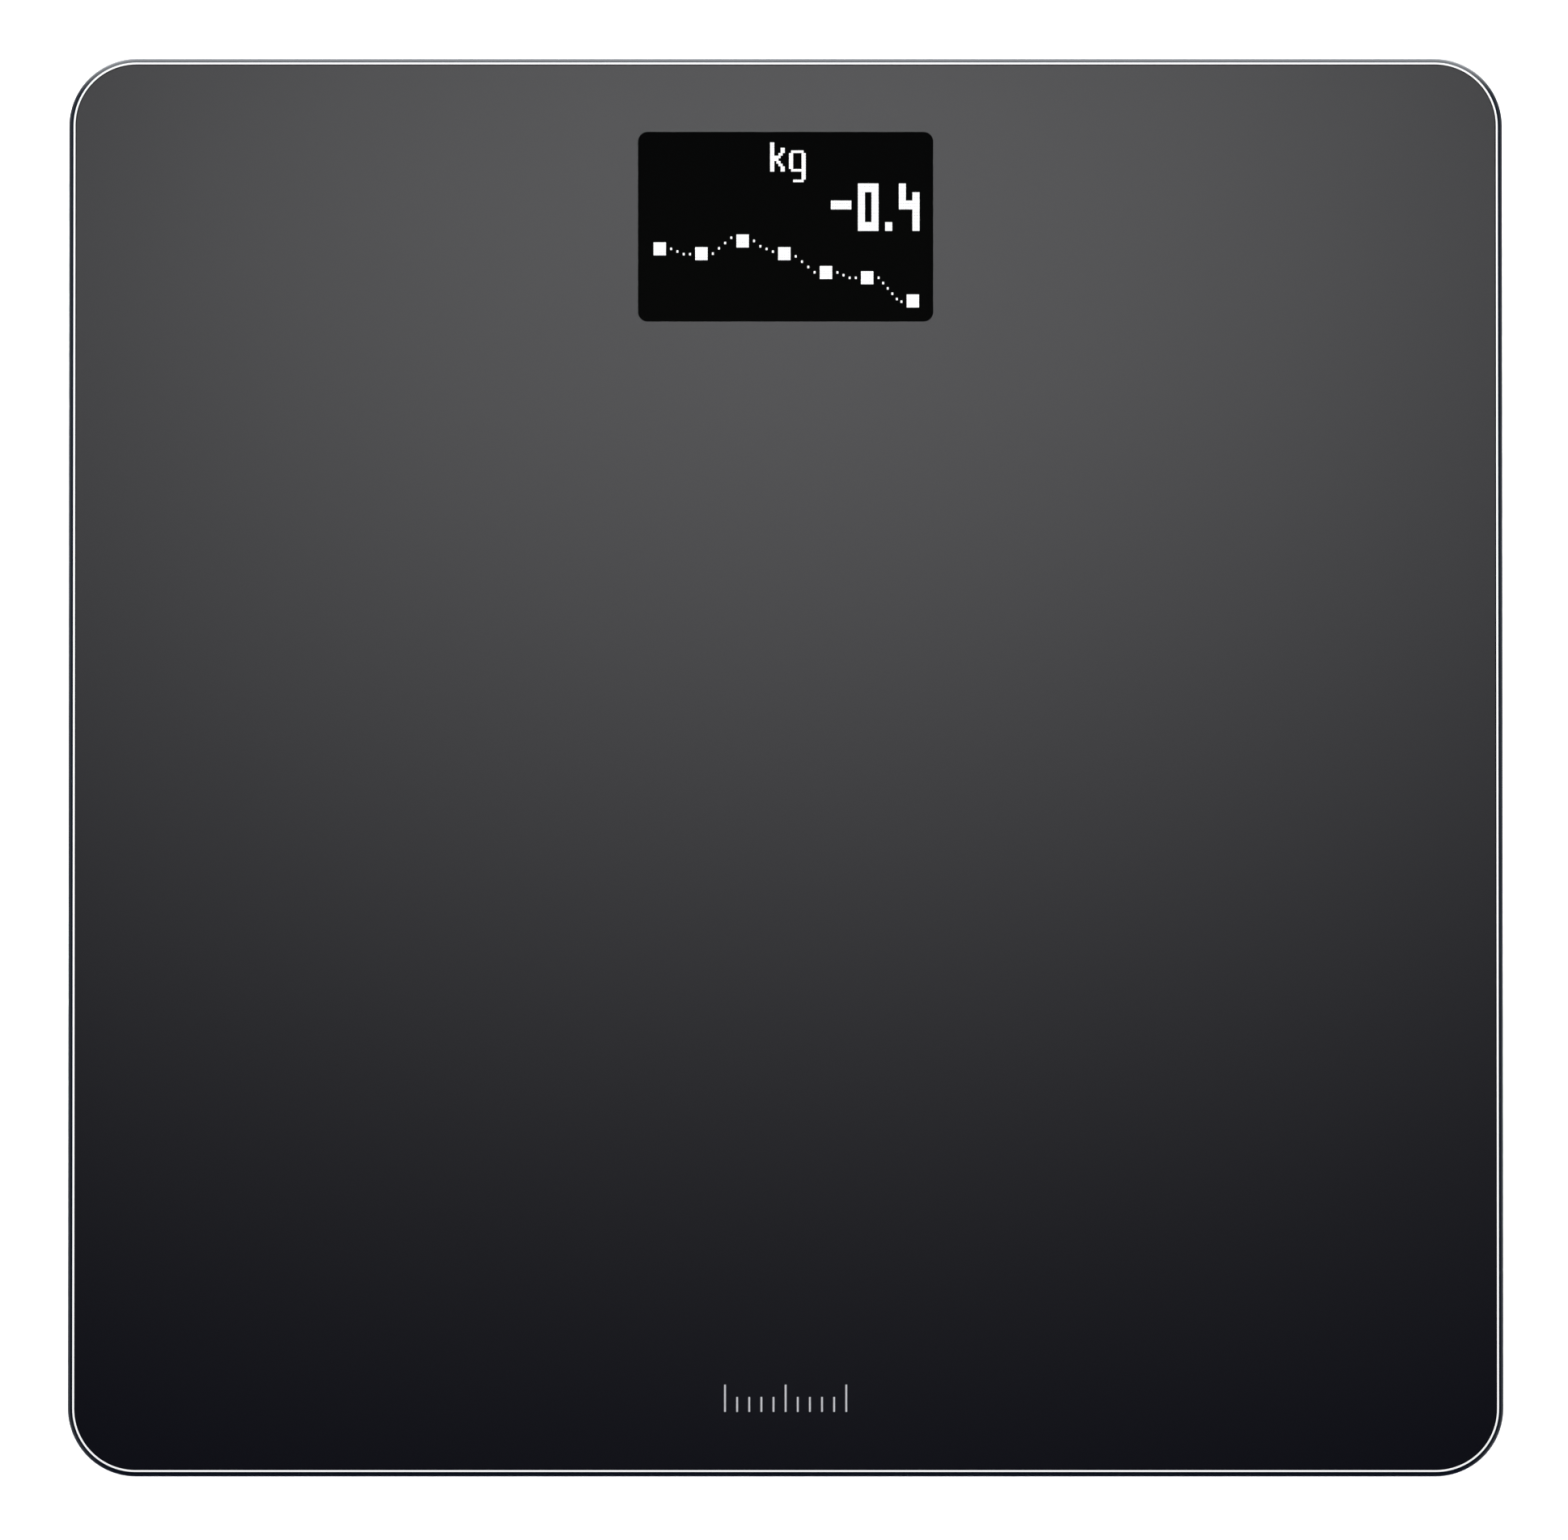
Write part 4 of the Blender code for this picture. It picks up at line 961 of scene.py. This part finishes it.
def buildWorld():
    world = bpy.data.worlds.new("studioSurround")
    world.use_nodes = True
    tree = world.node_tree
    tree.nodes.clear()
    direction = addNode(tree, "ShaderNodeTexCoord")
    parts = addNode(tree, "ShaderNodeSeparateXYZ", links={"Vector": direction.outputs["Generated"]})
    flat = addNode(tree, "ShaderNodeVectorMath", {1: (1.0, 1.0, 0.0)}, {0: direction.outputs["Generated"]},
                   operation="MULTIPLY")
    heading = addNode(tree, "ShaderNodeVectorMath", links={0: flat.outputs[0]}, operation="NORMALIZE")
    heading = addNode(tree, "ShaderNodeSeparateXYZ", links={"Vector": heading.outputs[0]})
    # each band is (what is read, from, to, level at from, level at to)
    bands = {
        "height": (parts.outputs["Z"], 0.5, 0.1, 0.0, 1.0),  # dark overhead, bright at the horizon
        "above": (parts.outputs["Z"], 0.0, 0.08, 0.0, 1.0),  # full strength just over the horizon
        "deep": (parts.outputs["Z"], -0.95, -0.5, 0.06, 0.42),  # dimmer towards the ground
        "skirt": (parts.outputs["Z"], -0.12, -0.4, 0.0, 1.0),  # dark just under the horizon
        "front": (heading.outputs["Y"], -0.5, -0.95, 1.0, 0.1),  # dimmest in front
        "back": (heading.outputs["Y"], 0.5, 1.0, 0.0, 3.6),  # brightest low down behind
        "low": (parts.outputs["Z"], 0.0, -0.25, 0.0, 1.0),  # keeps that glow below the horizon
    }
    band = {}
    for name, (source, start, end, atStart, atEnd) in bands.items():
        band[name] = addNode(tree, "ShaderNodeMapRange",
                             {"From Min": start, "From Max": end, "To Min": atStart, "To Max": atEnd},
                             {"Value": source}, interpolation_type="SMOOTHSTEP").outputs[0]

    def combine(operation, first, second):
        return addNode(tree, "ShaderNodeMath", links={0: first, 1: second}, operation=operation).outputs[0]

    ring = combine("ADD", band["above"], combine("MULTIPLY", band["deep"], band["skirt"]))
    ring = combine("MULTIPLY", combine("MULTIPLY", ring, band["height"]), band["front"])
    total = combine("ADD", ring, combine("MULTIPLY", band["back"], band["low"]))
    surround = addNode(tree, "ShaderNodeBackground", {"Color": white}, {"Strength": total})
    cool = addNode(tree, "ShaderNodeBackground", {"Color": studioLight["overheadTint"], "Strength": 1.0})
    lit = addNode(tree, "ShaderNodeAddShader", links={0: surround.outputs[0], 1: cool.outputs[0]})
    plain = addNode(tree, "ShaderNodeBackground", {"Color": white, "Strength": 1.0})
    seen = addNode(tree, "ShaderNodeLightPath")
    mixed = addNode(tree, "ShaderNodeMixShader", links={0: seen.outputs["Is Camera Ray"], 1: lit.outputs[0],
                                                        2: plain.outputs[0]})
    addNode(tree, "ShaderNodeOutputWorld", links={"Surface": mixed.outputs[0]})
    scene.world = world


def addSoftbox(name, place, aim, size, power, spread):
    data = bpy.data.lights.new(name, "AREA")
    data.shape = "RECTANGLE"
    data.size, data.size_y = size
    data.energy = power
    data.spread = math.radians(spread)
    light = bpy.data.objects.new(name, data)
    light.location = place
    light.rotation_euler = (Vector(aim) - Vector(place)).to_track_quat("-Z", "Y").to_euler()
    light.visible_camera = False
    scene.collection.objects.link(light)
    return light


# A gridded softbox behind and above gives the glow that fades down the glass, and a second one lights only
# the floor
def buildLights(p, floor):
    addSoftbox("griddedSoftbox", p["keyPlace"], p["keyAim"], p["keySize"], p["keyPower"], p["keySpread"])
    over = addSoftbox("floorSoftbox", p["floorPlace"], p["floorAim"], p["floorSize"], p["floorPower"],
                      p["floorSpread"])
    floorOnly = bpy.data.collections.new("floorOnly")
    floorOnly.objects.link(floor)
    over.light_linking.receiver_collection = floorOnly


def buildCamera(p):
    data = bpy.data.cameras.new("productCamera")
    data.lens = p["lens"]
    data.sensor_width = p["sensor"]
    data.clip_end = p["farClip"]
    camera = bpy.data.objects.new("productCamera", data)
    distance = p["frameWidth"] * p["lens"] / p["sensor"]
    tilt = math.radians(p["tilt"])
    target = Vector((*p["aim"], platform["top"] * mm))
    camera.location = target + Vector((0.0, -math.sin(tilt), math.cos(tilt))) * distance
    camera.rotation_euler = (tilt, 0.0, 0.0)
    scene.collection.objects.link(camera)
    scene.camera = camera


studioFloor = buildFloor(studio)
buildWorld()
buildLights(studioLight, studioFloor)
buildCamera(studio)
scene.view_settings.view_transform = "Standard"
scene.view_settings.look = "None"
print("studio ready")
